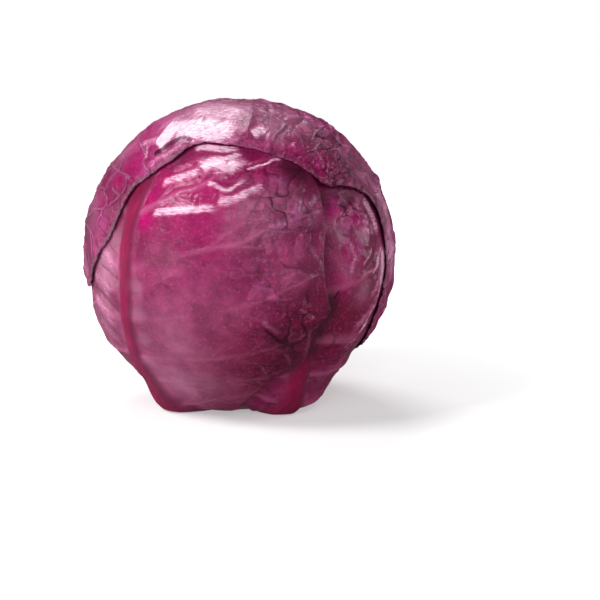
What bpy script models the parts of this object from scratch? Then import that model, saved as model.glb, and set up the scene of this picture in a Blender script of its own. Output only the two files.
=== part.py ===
# A head of red cabbage, trimmed for the kitchen: a cut stump, a tight heart, and five
# outer leaves that wrap it one over another. Metres, +Z up. The origin is the middle of
# the stump's cut face, on which the head stands. Azimuth 0 is the front (-Y) and grows
# towards +X, and latitude is measured at the middle of the head.

import bmesh
import bpy
import numpy as np
from mathutils import Vector

HEAD_RADIUS = 0.080  # of the round body of the head
HEAD_MIDDLE = 0.079  # height of its middle above the cut face
BLADE = 0.0010  # thickness of a leaf between its ribs
LEAF_GAP = 0.0012  # air between two leaves
PITCH = BLADE + LEAF_GAP  # from one leaf to the next below it
STEM_RADIUS = 0.0175  # of the cut face
STEM_HEIGHT = 0.034  # to the top of the stalk inside the heart
STEM_CLEAR = 0.0006  # air round the stalk
STEM_SIDES = 40
FLOOR_CLEAR = 0.0004  # the leaves stay this far above the cut face
DRAPE = 0.030  # how far outside an upper leaf's edge the leaf below starts to sink
DRAPE_AT_STEM = 0.007  # the same close to the stump, where the leaves are narrow
TUCK = 0.0025  # width beyond an upper leaf's edge that is sunk all the way
LOOSE_AT_STEM = 0.35  # the leaves lie this much further apart round the stump
RIB_TUCK = 0.004  # a vein is flat this far beyond an upper leaf's edge,
RIB_FADE = 0.009  # and over this width it comes back to its full height
COLUMN_SPACING = 0.0175  # at most this far apart at the margin
VEIN_BOW = 0.09  # how far a side vein bows towards the stump, as a share of its length
RIB_ROWS = np.array([0.0, 0.6, 1.25])  # points across the midrib, in its half widths
RIB_ROWS_MOST = np.array([0.0, 0.10, 0.22])  # the same as shares of a short side vein
CROSS_VEINS = 0.35  # height of a cross vein, as a share of a side vein's
CURL_WIDTH = 0.013  # the strip along an open edge that lifts
HEART_FINENESS = 3  # how often the ball of the heart is divided
HEART_CLEAR = 0.0007  # more air round the heart, below the innermost leaf
CROWDING = 0.30  # how much closer than even the veins start at the stump
VEIN_SHARE = 0.010  # half a side vein's width, as a share of the leaf's length

# Radius of the head by latitude, where it swells into the foot of a thick midrib, and
# between two such feet.
PROFILE_AT_FOOT = [
    (-90, 0.0755), (-78, 0.0775), (-73, 0.0816), (-68.5, 0.0842), (-65, 0.0858),
    (-61.5, 0.0862), (-58, 0.0850), (-54.5, 0.0828), (-48, 0.0796), (-39, 0.0793),
    (-28, 0.0797), (-10, 0.0797), (30, 0.0794), (60, 0.0784), (90, 0.0774),
]
PROFILE_BETWEEN = [
    (-90, 0.0755), (-78, 0.0772), (-73, 0.0809), (-70, 0.0817), (-67, 0.0812),
    (-62.5, 0.0795), (-56.5, 0.0780), (-48, 0.0773), (-38, 0.0783), (-28, 0.0793),
    (-10, 0.0797), (30, 0.0794), (60, 0.0784), (90, 0.0774),
]
FEET = [(-78, 34), (58, 28), (172, 36)]  # azimuth of each foot, and its half width

# Places where the head is fuller or flatter: azimuth, latitude, height and reach.
SWELLS = [(-86, -4, -0.0016, 0.030), (102, 52, 0.0010, 0.034)]

# Five leaves from the innermost to the outermost. rib runs from the stump to where the
# midrib fades, left and right run along the two margins from the stump to the tip, all
# as (azimuth, latitude). rib_size gives the midrib's half width and height at the
# stump, at mid leaf and at the tip. lifts are places where the margin stands off the
# head, as (azimuth, latitude, height, reach).
LEAVES = [
    dict(
        name="leaf_back", middle=(108, -2), veins=4, rows=8,
        rib=[(112, -79), (110, -55), (107, -20), (105, 15), (104, 45)],
        left=[(64, -76), (60, -62), (50, -40), (42, -12), (42, 18), (56, 46), (104, 64)],
        right=[(160, -76), (164, -60), (176, -38), (184, -10), (182, 18), (164, 46),
               (104, 64)],
        rib_size=[(0.0090, 0.0024), (0.0034, 0.0013), (0.0015, 0.0004)],
        curl=0.0010, waves=7, relief=0.0014, lifts=[], colour=(0.215, 0.050, 0.115),
    ),
    dict(
        name="leaf_left", middle=(-124, -2), veins=4, rows=8,
        rib=[(-122, -79), (-123, -55), (-124, -20), (-125, 15), (-126, 45)],
        left=[(-170, -76), (-176, -60), (-190, -38), (-200, -10), (-196, 18),
              (-176, 46), (-126, 64)],
        right=[(-78, -76), (-74, -60), (-66, -38), (-60, -10), (-62, 18), (-78, 46),
               (-126, 64)],
        rib_size=[(0.0095, 0.0026), (0.0036, 0.0014), (0.0015, 0.0004)],
        curl=0.0010, waves=7, relief=0.0014, lifts=[], colour=(0.240, 0.055, 0.130),
    ),
    dict(
        name="leaf_right", middle=(36, -2), veins=7, rows=11,
        rib=[(42, -79), (36, -60), (29, -35), (27, -5), (27, 25), (28, 50)],
        left=[(-14, -76), (-20, -64), (-30, -45), (-38, -20), (-38, 5), (-32, 28),
              (-16, 50), (26, 66)],
        right=[(96, -76), (98, -66), (104, -52), (112, -34), (120, -12), (121, 12),
               (108, 36), (80, 56), (26, 66)],
        rib_size=[(0.0105, 0.0032), (0.0036, 0.0016), (0.0015, 0.0004)],
        curl=0.0012, waves=8, relief=0.0016, lifts=[], colour=(0.200, 0.035, 0.085),
    ),
    dict(
        name="leaf_front", middle=(-44, -2), veins=8, rows=12,
        rib=[(-60, -79), (-61, -62), (-60, -54), (-51, -37), (-46, -22), (-44.5, 0),
             (-44.5, 28), (-44, 52)],
        left=[(-106, -76), (-108, -66), (-112, -50), (-114, -32), (-116, -12),
              (-115, 12), (-104, 38), (-82, 58), (-40, 70)],
        right=[(-8, -76), (2, -64), (14, -50), (23, -38), (27, -30.5), (28.5, -23),
               (32, -16), (32.5, -11), (30.6, -4), (30.6, 5), (32, 16), (34.5, 27),
               (33, 40), (18, 56), (-40, 70)],
        rib_size=[(0.0120, 0.0046), (0.0042, 0.0024), (0.0018, 0.0006)],
        curl=0.0013, waves=9, relief=0.0016,
        lifts=[(31, -10, 0.0016, 0.012), (33, 30, 0.0010, 0.012)],
        colour=(0.275, 0.050, 0.120),
    ),
    dict(
        name="leaf_cap", middle=(170, 34), veins=9, rows=13,
        rib=[(172, -79), (172, -55), (171, -20), (170, 20), (168, 60), (170, 84)],
        left=[(136, -76), (133, -66), (122, -57), (108, -50), (94, -44), (81, -38),
              (71, -31), (66.5, -22), (68.5, -12), (70, -3), (69.5, 6), (68.5, 17),
              (64, 25), (52, 30.5), (40, 32), (34.5, 36), (29, 41), (17, 46),
              (4, 49.5), (-6, 50.5)],
        right=[(-150, -76), (-146, -67), (-139, -57), (-130, -45), (-121, -34),
               (-111, -23), (-99, -14), (-86, -9.5), (-76, -10), (-70, -6.5), (-66, -1),
               (-62.5, 3.5), (-56, 10.5),
               (-52, 19), (-48, 30), (-41, 36.5), (-33, 42.5), (-25, 49.5),
               (-15, 51.3), (-6, 50.5)],
        rib_size=[(0.0120, 0.0044), (0.0042, 0.0030), (0.0020, 0.0010)],
        curl=0.0014, waves=11, relief=0.0018,
        lifts=[(-34, 43, 0.0018, 0.014),
               (66, 18, 0.0020, 0.018), (36, 35, 0.0014, 0.010),
               (110, -50, 0.0012, 0.016), (-126, -40, 0.0016, 0.018)],
        colour=(0.330, 0.105, 0.200),
    ),
]
HEART_COLOUR = (0.300, 0.080, 0.170)
STEM_COLOUR = (0.560, 0.440, 0.380)
LEAF_ROUGHNESS = 0.42
STEM_ROUGHNESS = 0.75


def direction(azimuth, latitude):
    """Unit vector from the middle of the head, by azimuth and latitude in degrees."""
    a, b = np.radians(azimuth), np.radians(latitude)
    return np.stack([np.cos(b) * np.sin(a), -np.cos(b) * np.cos(a), np.sin(b)], -1)


def smooth_step(x):
    """0 below 0, 1 above 1, and a smooth rise between."""
    x = np.clip(x, 0.0, 1.0)
    return x * x * (3 - 2 * x)


def smooth_line(points, count, closed=False):
    """A Catmull-Rom curve through the points, as count points evenly far apart."""
    points = np.asarray(points, float)
    if closed:
        padded = np.concatenate([points[-1:], points, points[:2]])
    else:
        first, last = 2 * points[:1] - points[1:2], 2 * points[-1:] - points[-2:-1]
        padded = np.concatenate([first, points, last])
    t = np.linspace(0, 1, 16, endpoint=False)[:, None]
    spans = []
    for a, b, c, d in zip(padded, padded[1:], padded[2:], padded[3:]):
        spans.append(0.5 * (2 * b + (c - a) * t + (2 * a - 5 * b + 4 * c - d) * t**2
                            + (3 * b - a - 3 * c + d) * t**3))
    curve = np.concatenate(spans + [padded[-2:-1]])
    steps = np.linalg.norm(np.diff(curve, axis=0), axis=1)
    along = np.concatenate([[0], np.cumsum(steps)])
    wanted = np.linspace(0, along[-1], count)
    return np.stack([np.interp(wanted, along, curve[:, k]) for k in range(points.shape[1])], -1)


def length(points):
    """Length of the line through the points."""
    return np.sum(np.linalg.norm(np.diff(points, axis=0), axis=1))


def profile_radius(profile, latitude):
    """Radius at a latitude, read from a smooth curve through the profile's points."""
    curve = smooth_line(np.array(profile) * (1, 1000), 400)
    return np.interp(latitude, curve[:, 0], curve[:, 1] / 1000)


def bump(d, azimuth, latitude, height, reach):
    """A soft round swelling on the head."""
    away = HEAD_RADIUS * np.arccos(np.clip(d @ direction(azimuth, latitude), -1, 1))
    return height * np.exp(-((away / reach) ** 2))


def head_radius(d):
    """The outermost surface of the head in the direction d, without ribs or edges."""
    azimuth = np.degrees(np.arctan2(d[..., 0], -d[..., 1]))
    latitude = np.degrees(np.arcsin(np.clip(d[..., 2], -1, 1)))
    foot = np.zeros_like(azimuth)
    for at, half in FEET:
        away = (azimuth - at + 180) % 360 - 180
        foot = np.maximum(foot, np.exp(-((away / half) ** 2)))
    radius = (foot * profile_radius(PROFILE_AT_FOOT, latitude)
              + (1 - foot) * profile_radius(PROFILE_BETWEEN, latitude))
    x, y, z = d[..., 0], d[..., 1], d[..., 2]
    lumps = 0.45 * np.sin(4.1 * x + 2.3 * z + 0.6) + 0.35 * np.sin(5.3 * z - 3.1 * y + 1.9)
    lumps = lumps + 0.30 * np.sin(6.7 * y + 2.9 * x - 0.8)
    for swell in SWELLS:
        radius = radius + bump(d, *swell)
    return radius + 0.001 * lumps * smooth_step((latitude + 62) / 25)


def to_plane(leaf, d):
    """Flatten directions round the leaf's middle, keeping their distance from it."""
    x, y, along = d @ leaf["east"], d @ leaf["north"], d @ leaf["centre"]
    across = np.maximum(np.hypot(x, y), 1e-9)
    angle = np.arctan2(across, along)
    return HEAD_RADIUS * angle[..., None] * np.stack([x, y], -1) / across[..., None]


def from_plane(leaf, p):
    """The inverse of to_plane."""
    far = np.maximum(np.linalg.norm(p, axis=-1), 1e-9)[..., None]
    angle = far / HEAD_RADIUS
    sideways = (p[..., :1] * leaf["east"] + p[..., 1:] * leaf["north"]) / far
    return leaf["centre"] * np.cos(angle) + sideways * np.sin(angle)


def lay_out(leaf):
    """Work out a leaf's own plane, its midrib and margins there, and its outline."""
    a, b = np.radians(leaf["middle"])
    leaf["centre"] = direction(*leaf["middle"])
    leaf["east"] = np.array([np.cos(a), np.sin(a), 0.0])
    leaf["north"] = np.array([-np.sin(b) * np.sin(a), np.sin(b) * np.cos(a), np.cos(b)])
    for key in ("rib", "left", "right"):
        places = np.array(leaf[key], float)
        leaf[key + "_line"] = to_plane(leaf, direction(places[:, 0], places[:, 1]))
    loop = np.concatenate([leaf["rib_line"][:1], leaf["left_line"], leaf["right_line"][-2::-1]])
    loop = smooth_line(loop, 720, closed=True)
    bearing = np.arctan2(loop[:, 0], loop[:, 1])
    order = np.argsort(bearing)
    leaf["bearing"], leaf["reach"] = bearing[order], np.linalg.norm(loop, axis=1)[order]


def outside(leaf, d):
    """How far a direction lies outside the leaf's outline, less than 0 inside it."""
    p = to_plane(leaf, d)
    bearing = np.arctan2(p[..., 0], p[..., 1])
    reach = np.interp(bearing, leaf["bearing"], leaf["reach"], period=2 * np.pi)
    return np.linalg.norm(p, axis=-1) - reach


def sink(upper, d):
    """How far a leaf below this one is pressed in: 1 under it, 0 well away from it."""
    latitude = np.degrees(np.arcsin(np.clip(d[..., 2], -1, 1)))
    width = DRAPE_AT_STEM + (DRAPE - DRAPE_AT_STEM) * smooth_step((latitude + 68) / 40)
    return 1 - smooth_step((outside(upper, d) - TUCK) / width)


def blade_radius(level, d):
    """The outer face of the leaf at this level, 0 for the heart, without its relief."""
    radius = head_radius(d)
    latitude = np.degrees(np.arcsin(np.clip(d[..., 2], -1, 1)))
    pitch = PITCH * (1 + LOOSE_AT_STEM * smooth_step((-60 - latitude) / 8))
    for upper in LEAVES[level:]:
        radius = radius - pitch * sink(upper, d)
    return radius


def openness(level, d):
    """1 where nothing lies over the leaf at this level, and 0 where one does."""
    free = np.ones(d.shape[:-1])
    for upper in LEAVES[level:]:
        free = np.minimum(free, smooth_step((outside(upper, d) - RIB_TUCK) / RIB_FADE))
    return free


def edge_lift(leaf, d):
    """How far the leaf's margin stands off the head."""
    inside = -outside(leaf, d)
    strip = np.clip(1 - inside / CURL_WIDTH, 0, 1) ** 2
    p = to_plane(leaf, d)
    bearing = np.arctan2(p[..., 0], p[..., 1])
    latitude = np.degrees(np.arcsin(np.clip(d[..., 2], -1, 1)))
    lift = leaf["curl"] * (1 + 0.6 * np.sin(leaf["waves"] * bearing + 0.7))
    for place_lifted in leaf["lifts"]:
        lift = lift + bump(d, *place_lifted)
    return strip * lift * smooth_step((latitude + 70) / 25)


def leaf_columns(leaf):
    """Where the grid's columns leave the midrib, from 0 at the stump to 1 at the tip, and
    which of them are the crests of side veins. Each vein has a crest between two feet,
    and plain columns fill the blade between veins."""
    step = (np.arange(leaf["veins"]) + 0.6) / (leaf["veins"] + 0.2)
    crest = (1 - CROWDING) * step + CROWDING * step**2
    feet = np.concatenate([crest - VEIN_SHARE, crest + VEIN_SHARE])
    start = np.sort(np.concatenate([[0, 1], crest, feet]))
    margin = max(length(leaf["left_line"]), length(leaf["right_line"]))
    plain = [np.linspace(a, b, int(np.ceil((b - a) * margin / COLUMN_SPACING)) + 1)[1:-1]
             for a, b in zip(start, start[1:])]
    start = np.sort(np.concatenate([start] + plain))
    return start, np.isin(start, crest)


def leaf_grid(leaf):
    """The blade's points in its plane, one half of the leaf after the other, and for each
    of them how far out it is from the midrib and how thick the midrib is there."""
    start, _ = leaf_columns(leaf)
    picked = np.round(399 * start).astype(int)
    rib = smooth_line(leaf["rib_line"], 400)[picked]
    stump, middle, tip = np.array(leaf["rib_size"])
    share = start[:, None]
    size = np.where(share < 0.45, stump + (middle - stump) * smooth_step(share / 0.45),
                    middle + (tip - middle) * (share - 0.45) / 0.55)
    halves = []
    for side in ("left", "right"):
        margin = smooth_line(leaf[side + "_line"], 400)[picked]
        chord = margin - rib
        long = np.maximum(np.linalg.norm(chord, axis=1, keepdims=True), 1e-6)
        bow = np.stack([-chord[:, 1], chord[:, 0]], -1) / long
        bow = bow * np.sign(np.sum(bow * (leaf["rib_line"][0] - rib), axis=1, keepdims=True))
        turn = rib + 0.5 * chord + VEIN_BOW * long * bow
        near = np.minimum(RIB_ROWS * size[:, :1] / long, RIB_ROWS_MOST)
        far = near[:, -1:] + (1 - near[:, -1:]) * np.linspace(0, 1, leaf["rows"] - 1)[1:]
        w = np.concatenate([near, far], 1)[..., None]
        halves.append((1 - w) ** 2 * rib[:, None] + 2 * w * (1 - w) * turn[:, None]
                      + w**2 * margin[:, None])
    return halves, w[..., 0], size


def leaf_relief(leaf, along, size):
    """Height of the outer face above the blade: the midrib, the side veins, and between
    these the lower cross veins that close the net."""
    start, crest = leaf_columns(leaf)
    rows = leaf["rows"]
    i, j = np.meshgrid(np.arange(len(start)), np.arange(rows + 1), indexing="ij")
    rib = np.select([j == 0, j == 1], [1.0, 0.62], 0.0) * size[:, 1:]
    field = np.cumsum(crest)[:, None]
    cross = CROSS_VEINS * ((j + 2 * field) % 3 == 0) * (field < leaf["veins"])
    vein = np.where(crest[:, None], 1 - 0.5 * along, cross)
    window = smooth_step((j - 1) / 1.5) * smooth_step((rows - j) / 1.5) * smooth_step(i / 3)
    return rib + leaf["relief"] * vein * window


def add_material(thing, colour, roughness):
    """A plain surface in the piece's own colour."""
    material = bpy.data.materials.new(thing.name)
    material.use_nodes = True
    shader = material.node_tree.nodes["Principled BSDF"]
    shader.inputs["Base Color"].default_value = (*colour, 1)
    shader.inputs["Roughness"].default_value = roughness
    shader.inputs["Metallic"].default_value = 0.0
    thing.data.materials.append(material)


def make_object(name, points, faces):
    """A mesh object from points and faces, with its faces turned outwards."""
    mesh = bpy.data.meshes.new(name)
    mesh.from_pydata(points.tolist(), [], faces)
    work = bmesh.new()
    work.from_mesh(mesh)
    bmesh.ops.recalc_face_normals(work, faces=work.faces)
    work.to_mesh(mesh)
    work.free()
    mesh.shade_smooth()
    mesh.set_sharp_from_angle(angle=0.9)
    thing = bpy.data.objects.new(name, mesh)
    bpy.context.collection.objects.link(thing)
    return thing


def place(d, radius):
    """Points at this radius from the middle of the head, kept clear of the stalk and
    above the level of its cut face."""
    points = d * radius[..., None] + (0, 0, HEAD_MIDDLE)
    from_axis = np.maximum(np.hypot(points[..., 0], points[..., 1]), 1e-9)
    push = np.where(d[..., 2] < 0, np.maximum(1, (STEM_RADIUS + STEM_CLEAR) / from_axis), 1)
    points[..., 0] *= push
    points[..., 1] *= push
    points[..., 2] = np.maximum(points[..., 2], FLOOR_CLEAR)
    return points


def make_leaf(level, leaf):
    """One leaf: the same triangles on both faces, joined round the rim."""
    halves, along, size = leaf_grid(leaf)
    columns, rows = len(size) - 1, leaf["rows"]
    d = np.stack([from_plane(leaf, half) for half in halves])
    free = openness(level, d)
    relief = leaf_relief(leaf, along, size)[None] * (0.12 + 0.88 * free)
    base = blade_radius(level, d) + edge_lift(leaf, d) * free
    outer = place(d, base + relief)
    inner = place(d, base - BLADE + 0.35 * relief * (np.arange(rows + 1) > 1))

    def index(side, i, j):
        shared = side == 1 and (j == 0 or i == columns)
        return (0 if shared else side) * (columns + 1) * (rows + 1) + i * (rows + 1) + j

    faces = []
    for side in (0, 1):
        for i in range(columns):
            for j in range(rows):
                a, b = index(side, i, j), index(side, i + 1, j)
                c, e = index(side, i + 1, j + 1), index(side, i, j + 1)
                faces += [(a, b, c), (a, c, e)] if (i + j) % 2 else [(a, b, e), (b, c, e)]
    total = 2 * (columns + 1) * (rows + 1)
    rim = [index(0, 0, j) for j in range(rows)] + [index(0, i, rows) for i in range(columns)]
    rim += [index(0, columns, rows)] + [index(1, i, rows) for i in reversed(range(columns))]
    rim += [index(1, 0, j) for j in reversed(range(1, rows))]
    both = faces + [tuple(v + total for v in reversed(face)) for face in faces]
    for a, b in zip(rim, rim[1:] + rim[:1]):
        both += [(a, b, b + total), (a, b + total, a + total)]
    # The second half's midrib and tip columns are the first half's, so their points go.
    points = np.concatenate([outer.reshape(-1, 3), inner.reshape(-1, 3)])
    used = np.unique(np.array(both))
    renumber = np.zeros(len(points), int)
    renumber[used] = np.arange(len(used))
    thing = make_object(leaf["name"], points[used], renumber[np.array(both)].tolist())
    add_material(thing, leaf["colour"], LEAF_ROUGHNESS)
    return thing


def turned(name, profile):
    """A solid turned round the head's axis from (radius, height) points."""
    profile = np.array(profile)
    turn = np.linspace(0, 2 * np.pi, STEM_SIDES, endpoint=False)
    rings = [np.stack([r * np.cos(turn), r * np.sin(turn), np.full(STEM_SIDES, z)], -1)
             for r, z in profile[1:-1]]
    points = np.concatenate(rings + [[(0, 0, profile[0, 1]), (0, 0, profile[-1, 1])]])
    last, faces = len(rings) - 1, []
    bottom, top = len(points) - 2, len(points) - 1
    for k in range(STEM_SIDES):
        n = (k + 1) % STEM_SIDES
        faces += [(bottom, n, k), (last * STEM_SIDES + k, last * STEM_SIDES + n, top)]
        for ring in range(last):
            a, b = ring * STEM_SIDES + k, ring * STEM_SIDES + n
            faces += [(a, b, b + STEM_SIDES, a + STEM_SIDES)]
    return make_object(name, points, faces)


def stalk_profile(grow):
    """The stalk's outline from the cut face to its top, grown by a clearance."""
    r, h = STEM_RADIUS, STEM_HEIGHT
    sides = [(r - 0.0008, 0.0), (r, 0.0009), (r - 0.0002, 0.008), (0.92 * r, 0.42 * h),
             (0.76 * r, 0.66 * h), (0.50 * r, 0.86 * h), (0.20 * r, 0.98 * h)]
    return [(0, 0.0)] + [(x + grow, z) for x, z in sides] + [(0, h + grow)]


def make_stem():
    """The cut stump and the stalk that tapers up inside the heart."""
    stem = turned("stem", stalk_profile(0.0))
    add_material(stem, STEM_COLOUR, STEM_ROUGHNESS)


def make_heart():
    """The tight ball of inner leaves, with a pocket for the stalk."""
    ball = bmesh.new()
    bmesh.ops.create_icosphere(ball, subdivisions=HEART_FINENESS, radius=1.0)
    ball.verts.ensure_lookup_table()
    d = np.array([tuple(v.co.normalized()) for v in ball.verts])
    for vertex, r in zip(ball.verts, blade_radius(0, d) - HEART_CLEAR):
        vertex.co = vertex.co.normalized() * float(r) + Vector((0, 0, HEAD_MIDDLE))
    mesh = bpy.data.meshes.new("heart")
    ball.to_mesh(mesh)
    ball.free()
    mesh.shade_smooth()
    mesh.set_sharp_from_angle(angle=0.9)
    heart = bpy.data.objects.new("heart", mesh)
    bpy.context.collection.objects.link(heart)
    add_material(heart, HEART_COLOUR, LEAF_ROUGHNESS)
    cutter = turned("stalk_pocket", stalk_profile(STEM_CLEAR))
    cutter.hide_render = True
    cutter.display_type = "WIRE"
    pocket = heart.modifiers.new("pocket", "BOOLEAN")
    pocket.operation = "DIFFERENCE"
    pocket.object = cutter


def main():
    for thing in list(bpy.data.objects):
        bpy.data.objects.remove(thing, do_unlink=True)
    for leaf in LEAVES:
        lay_out(leaf)
    make_stem()
    make_heart()
    for level, leaf in enumerate(LEAVES, start=1):
        make_leaf(level, leaf)


main()
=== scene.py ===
import bpy
import numpy as np
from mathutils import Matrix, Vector


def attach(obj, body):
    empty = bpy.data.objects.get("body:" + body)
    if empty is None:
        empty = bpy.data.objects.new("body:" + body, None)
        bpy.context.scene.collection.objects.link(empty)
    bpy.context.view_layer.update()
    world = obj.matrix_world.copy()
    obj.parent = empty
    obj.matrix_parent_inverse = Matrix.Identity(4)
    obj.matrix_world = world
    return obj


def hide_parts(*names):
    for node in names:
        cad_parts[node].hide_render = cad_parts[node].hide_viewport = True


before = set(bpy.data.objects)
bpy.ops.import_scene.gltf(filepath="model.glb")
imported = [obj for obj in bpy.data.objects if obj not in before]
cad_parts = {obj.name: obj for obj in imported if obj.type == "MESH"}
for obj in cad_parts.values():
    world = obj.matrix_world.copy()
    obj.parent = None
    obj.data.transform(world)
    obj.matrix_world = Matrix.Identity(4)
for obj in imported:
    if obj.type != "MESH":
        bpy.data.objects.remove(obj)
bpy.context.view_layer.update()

print("frame loaded:", sorted(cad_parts))

# A head of red cabbage. Lengths are metres. Azimuth 0 is the front and grows towards +X,
# latitude is measured at the middle of the head, and both are in degrees.

head = dict(
    radius=0.080,  # of the round body
    middle=0.079,  # height of its middle above the cut face
    blade=0.0010,  # thickness of a leaf
    pitch=0.0022,  # from one leaf to the next below it
    looseAtStem=0.35,  # the leaves lie this much further apart round the stump
    floorClear=0.0004,  # of a leaf over the floor
    drape=0.030,  # how far outside an upper leaf the one below starts to sink
    drapeAtStem=0.007,  # the same at the stump
    tuck=0.0025,  # beyond an upper leaf's edge the leaf below is sunk all the way
    veilTuck=0.004,  # a vein is flat this far beyond an upper leaf's edge,
    veilFade=0.009,  # and over this width it comes back to its full height
    curlWidth=0.013,  # the strip along an open edge that lifts
    wander=[(0.0012, 0.012, 5), (0.0004, 0.004, 7)],  # of a line: how far, lump, first seed
    press=0.00125,  # how far a hugging margin is pressed down
    sunk=0.0009,  # the deepest that small relief goes into a blade
    edgeShare=0.72,  # of its thickness, a blade's edge
    edgeStrip=0.004,  # over which it thins
    thinnest=0.00062,  # that a blade may be
    edgeBulge=0.45,  # of the thickness, how far the rounded edge stands out
    crowd=0.35,  # how much the rings of a leaf's mesh crowd towards its edge
    heartGap=0.0007,  # between the heart and the innermost leaf
    sheet=0.4,  # side of the square that the UV map covers
    # radius by latitude, where the head swells into the foot of a thick midrib, and
    # between two such feet
    atFoot=[(-90, 0.0755), (-78, 0.0775), (-73, 0.0816), (-68.5, 0.0842), (-65, 0.0858),
            (-61.5, 0.0862), (-58, 0.0850), (-54.5, 0.0828), (-48, 0.0796), (-39, 0.0793),
            (-28, 0.0797), (-10, 0.0797), (30, 0.0794), (60, 0.0784), (90, 0.0774)],
    between=[(-90, 0.0755), (-78, 0.0772), (-73, 0.0809), (-70, 0.0817), (-67, 0.0812),
             (-62.5, 0.0795), (-56.5, 0.0780), (-48, 0.0773), (-38, 0.0783), (-28, 0.0793),
             (-10, 0.0797), (30, 0.0794), (60, 0.0784), (90, 0.0774)],
    feet=[(-78, 34), (58, 28), (172, 36)],  # azimuth of each foot and its half width
    swells=[(-86, -4, -0.0016, 0.030), (102, 52, 0.0010, 0.034)],  # az, lat, height, reach
)

stump = dict(radius=0.0175, height=0.034, clear=0.0006, rings=64, sides=144)


def direction(azimuth, latitude):
    # unit vector from the middle of the head
    a, b = np.radians(azimuth), np.radians(latitude)
    return np.stack([np.cos(b) * np.sin(a), -np.cos(b) * np.cos(a), np.sin(b)], -1)


def angles(d):
    # azimuth and latitude of a unit vector
    return (np.degrees(np.arctan2(d[..., 0], -d[..., 1])),
            np.degrees(np.arcsin(np.clip(d[..., 2], -1, 1))))


def smoothStep(x):
    # 0 below 0, 1 above 1, 3x^2 - 2x^3 between
    x = np.clip(x, 0.0, 1.0)
    return x * x * (3 - 2 * x)


def hump(away, half):
    # exp(-(distance / half width)^2)
    return np.exp(-((away / half) ** 2))


def tapered(at, first, last):
    # along a line from 0 to 1: rises from 0 over its first share, falls to 0 over its last
    return smoothStep(at / first) * smoothStep((1 - at) / last)


def atLeast(values, close, wanted):
    # raises the values of the close points to what is wanted
    values[close] = np.maximum(values[close], wanted)


def smoothLine(points, count, closed=False):
    # a Catmull-Rom curve through the points, as count points evenly far apart
    points = np.asarray(points, float)
    if closed:
        padded = np.concatenate([points[-1:], points, points[:2]])
    else:
        first, last = 2 * points[:1] - points[1:2], 2 * points[-1:] - points[-2:-1]
        padded = np.concatenate([first, points, last])
    t = np.linspace(0, 1, 16, endpoint=False)[:, None]
    spans = []
    for a, b, c, d in zip(padded, padded[1:], padded[2:], padded[3:]):
        spans.append(0.5 * (2 * b + (c - a) * t + (2 * a - 5 * b + 4 * c - d) * t**2
                            + (3 * b - a - 3 * c + d) * t**3))
    curve = np.concatenate(spans + [padded[-2:-1]])
    along = np.concatenate([[0], np.cumsum(np.linalg.norm(np.diff(curve, axis=0), axis=1))])
    wanted = np.linspace(0, along[-1], count)
    return np.stack([np.interp(wanted, along, curve[:, k]) for k in range(points.shape[1])], -1)


def profileRadius(profile, latitude):
    curve = smoothLine(np.array(profile) * (1, 1000), 400)
    return np.interp(latitude, curve[:, 0], curve[:, 1] / 1000)


def bump(d, azimuth, latitude, height, reach):
    # a soft round swelling: height times exp(-(distance / reach)^2)
    away = head["radius"] * np.arccos(np.clip(d @ direction(azimuth, latitude), -1, 1))
    return height * hump(away, reach)


def headRadius(d):
    # outermost surface in the direction d: the two profiles mixed by how near a foot is,
    # plus the swells and slow waves of a millimetre
    azimuth, latitude = angles(d)
    foot = np.zeros_like(azimuth)
    for at, half in head["feet"]:
        away = (azimuth - at + 180) % 360 - 180
        foot = np.maximum(foot, hump(away, half))
    radius = (foot * profileRadius(head["atFoot"], latitude)
              + (1 - foot) * profileRadius(head["between"], latitude))
    x, y, z = d[..., 0], d[..., 1], d[..., 2]
    lumps = 0.45 * np.sin(4.1 * x + 2.3 * z + 0.6) + 0.35 * np.sin(5.3 * z - 3.1 * y + 1.9)
    lumps = lumps + 0.30 * np.sin(6.7 * y + 2.9 * x - 0.8)
    for swell in head["swells"]:
        radius = radius + bump(d, *swell)
    return radius + 0.001 * lumps * smoothStep((latitude + 62) / 25)


def toPlane(leaf, d):
    # flatten directions round the leaf's middle, keeping their distance from it
    x, y, along = d @ leaf["east"], d @ leaf["north"], d @ leaf["centre"]
    across = np.maximum(np.hypot(x, y), 1e-9)
    angle = np.arctan2(across, along)
    return head["radius"] * angle[..., None] * np.stack([x, y], -1) / across[..., None]


def fromPlane(leaf, p):
    far = np.maximum(np.linalg.norm(p, axis=-1), 1e-9)[..., None]
    angle = far / head["radius"]
    sideways = (p[..., :1] * leaf["east"] + p[..., 1:] * leaf["north"]) / far
    return leaf["centre"] * np.cos(angle) + sideways * np.sin(angle)


def onPlane(leaf, places):
    # (azimuth, latitude) places as points of the leaf's plane
    places = np.asarray(places, float)
    return toPlane(leaf, direction(places[:, 0], places[:, 1]))


def outside(leaf, d):
    # how far a direction lies outside the leaf's outline, less than 0 inside it
    p = toPlane(leaf, d)
    bearing = np.arctan2(p[..., 0], p[..., 1])
    reach = np.interp(bearing, leaf["bearing"], leaf["reach"], period=2 * np.pi)
    return np.linalg.norm(p, axis=-1) - reach


def sink(upper, d):
    # how far a leaf below this one is pressed in: 1 under it, 0 well away from it
    latitude = angles(d)[1]
    near = head["drapeAtStem"]
    width = near + (head["drape"] - near) * smoothStep((latitude + 68) / 40)
    return 1 - smoothStep((outside(upper, d) - head["tuck"]) / width)


def bladeRadius(level, d):
    # outer face of the leaf at this level, 0 for the heart, without its relief
    radius, latitude = headRadius(d), angles(d)[1]
    pitch = head["pitch"] * (1 + head["looseAtStem"] * smoothStep((-60 - latitude) / 8))
    for upper in leaves[level:]:
        radius = radius - pitch * sink(upper, d)
    return radius


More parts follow.
